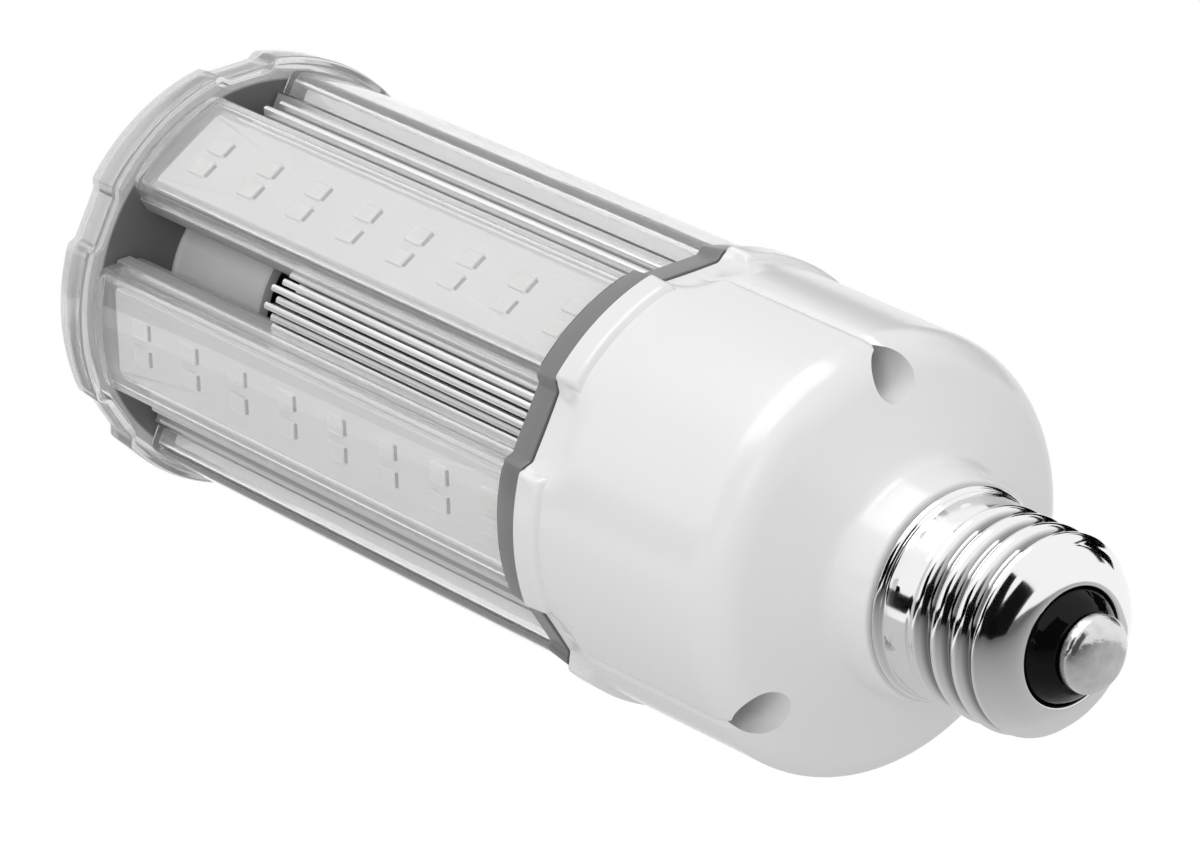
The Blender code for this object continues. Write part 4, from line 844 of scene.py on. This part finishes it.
floor_mesh = bpy.data.meshes.new("studio_floor")
floor_mesh.from_pydata([(x * floor_reach, y * floor_reach, 0) for x, y in
                        ((-1, -1), (1, -1), (1, 1), (-1, 1))], [], [(0, 1, 2, 3)])
floor = bpy.data.objects.new("studio_floor", floor_mesh)
bpy.context.scene.collection.objects.link(floor)
floor_white, floor_tree, floor_shader = start_material("studio_floor_paper", "#F2F2F2", 0.9)[:3]
light_path = add_node(floor_tree, "ShaderNodeLightPath")
seen = add_node(floor_tree, "ShaderNodeMath", {"operation": "MAXIMUM"},
                {0: light_path.outputs["Is Camera Ray"], 1: light_path.outputs["Is Transmission Ray"]})
share = add_node(floor_tree, "ShaderNodeMath", {"operation": "MULTIPLY", 1: floor_seen},
                 {0: seen.outputs[0]})
glow = add_node(floor_tree, "ShaderNodeEmission", {"Color": (1, 1, 1, 1), "Strength": floor_glow})
mixed = add_node(floor_tree, "ShaderNodeMixShader", {},
                 {0: share.outputs[0], 1: floor_shader.outputs[0], 2: glow.outputs[0]})
floor_tree.links.new(mixed.outputs[0], floor_tree.nodes["Material Output"].inputs["Surface"])
floor_mesh.materials.append(floor_white)
floor.visible_glossy = False

world = bpy.data.worlds.new("studio_room")
bpy.context.scene.world = world
world.use_nodes = True
room = world.node_tree
rays = add_node(room, "ShaderNodeLightPath")
either = add_node(room, "ShaderNodeMath", {"operation": "MAXIMUM"},
                  {0: rays.outputs["Is Camera Ray"], 1: rays.outputs["Is Transmission Ray"]})
any_of = add_node(room, "ShaderNodeMath", {"operation": "MAXIMUM"},
                  {0: either.outputs[0], 1: rays.outputs["Is Glossy Ray"]})
level = add_node(room, "ShaderNodeMapRange", {"To Min": room_light, "To Max": room_white},
                 {"Value": any_of.outputs[0]})
room.nodes["Background"].inputs["Color"].default_value = (1, 1, 1, 1)
room.links.new(level.outputs["Result"], room.nodes["Background"].inputs["Strength"])


def studio_card(name, way, distance, across, width, height, tone, shade=None):
    """A flat card that only reflections see, some way from the focus and facing it; way and
    across are given along the picture's right, down and depth. With a shade, it runs from that
    near the camera to its tone far from it."""
    way, across = way @ picture_axes, across @ picture_axes
    centre, facing = focus + distance * way, -way / np.linalg.norm(way)
    across = across - facing * (across @ facing)
    across = across / np.linalg.norm(across)
    rise = np.cross(facing, across)
    corners = [centre + sx * across * width / 2 + sy * rise * height / 2
               for sx, sy in ((-1, -1), (1, -1), (1, 1), (-1, 1))]
    mesh = bpy.data.meshes.new(name)
    mesh.from_pydata([tuple(c) for c in corners], [], [(0, 1, 2, 3)])
    card = bpy.data.objects.new(name, mesh)
    bpy.context.scene.collection.objects.link(card)
    paint = bpy.data.materials.new(name)
    paint.use_nodes = True
    tree = paint.node_tree
    colour = add_node(tree, "ShaderNodeEmission", {"Color": linear(tone), "Strength": 1.0})
    if shade:
        spot = add_node(tree, "ShaderNodeTexCoord").outputs["Object"]
        along = add_node(tree, "ShaderNodeVectorMath",
                         {"operation": "DOT_PRODUCT", 1: tuple(picture_depth)}, {0: spot})
        ramp = add_node(tree, "ShaderNodeMapRange", {"From Min": card_near, "From Max": card_far},
                        {"Value": along.outputs["Value"]})
        blend = add_node(tree, "ShaderNodeMix",
                         {"data_type": "RGBA", 6: linear(shade), 7: linear(tone)},
                         {0: ramp.outputs["Result"]})
        tree.links.new(blend.outputs[2], colour.inputs["Color"])
    tree.links.new(colour.outputs[0], tree.nodes["Material Output"].inputs["Surface"])
    mesh.materials.append(paint)
    for ray in ("camera", "diffuse", "transmission", "shadow", "volume_scatter"):
        setattr(card, f"visible_{ray}", False)


studio_card("table_card", (0, 1, 0), 0.9, (1, 0, 0), 8.0, 8.0, "#CCCCCC", "#646464")
studio_card("left_flag", (-1, 0, 0), 2.2, (0, 0, 1), 2.6, 0.5, "#060606")
studio_card("front_flag", (-0.68, -0.24, -0.69), 2.4, (1, 0, 0), 1.7, 1.65, "#060606")
studio_card("lens_flag", (0.17, 0, -0.98), 2.4, (1, -1, 0), 2.5, 1.7, "#121212")
studio_card("camera_flag", (-0.2, 0.12, -0.97), 2.5, (1, 0, 0), 0.9, 1.3, "#0C0C0C")
studio_card("edge_flag", (0.75, -0.5, 0.35), 2.4, (1, 1, 0), 1.3, 0.3, "#101010")
studio_card("rear_flag", (0.5, -0.5, 0.7), 2.4, (1, 0, 0), 2.4, 0.9, "#060606")


def placed(right, up, back, place):
    """The matrix that turns X, Y and Z to right, up and back, and moves the origin to place."""
    return Matrix([*np.column_stack([right, up, back, place]).tolist(), (0, 0, 0, 1)])


def soft_lamp(name, side, power, place):
    """A square area lamp that shines from a place at the focus, with its X axis level."""
    lamp = bpy.data.lights.new(name, "AREA")
    lamp.shape = "RECTANGLE"
    lamp.size, lamp.size_y = side, side
    lamp.energy = power
    back = (place - focus) / np.linalg.norm(place - focus)
    level = np.cross((0, 0, 1), back)
    level = level / np.linalg.norm(level)
    lamp_object = bpy.data.objects.new(name, lamp)
    lamp_object.matrix_world = placed(level, np.cross(back, level), back, place)
    bpy.context.scene.collection.objects.link(lamp_object)
    return lamp_object


soft_lamp("soft_box", 1.4, 23.0, focus + (-0.5, -1.45, -0.4) @ picture_axes)
fill = soft_lamp("front_fill", 0.6, 7.5, focus + (-0.5, -0.35, -2.0) @ picture_axes)
fill.visible_glossy = False

camera_data = bpy.data.cameras.new("photo_camera")
camera_data.sensor_width = 36
camera_data.lens = 200.783
camera_data.clip_start = 0.01
camera_data.clip_end = 20
camera = bpy.data.objects.new("photo_camera", camera_data)
camera.matrix_world = placed(picture_right, -picture_down, -picture_depth, camera_place)
bpy.context.scene.collection.objects.link(camera)
bpy.context.scene.camera = camera
bpy.context.scene.view_settings.view_transform = "Standard"
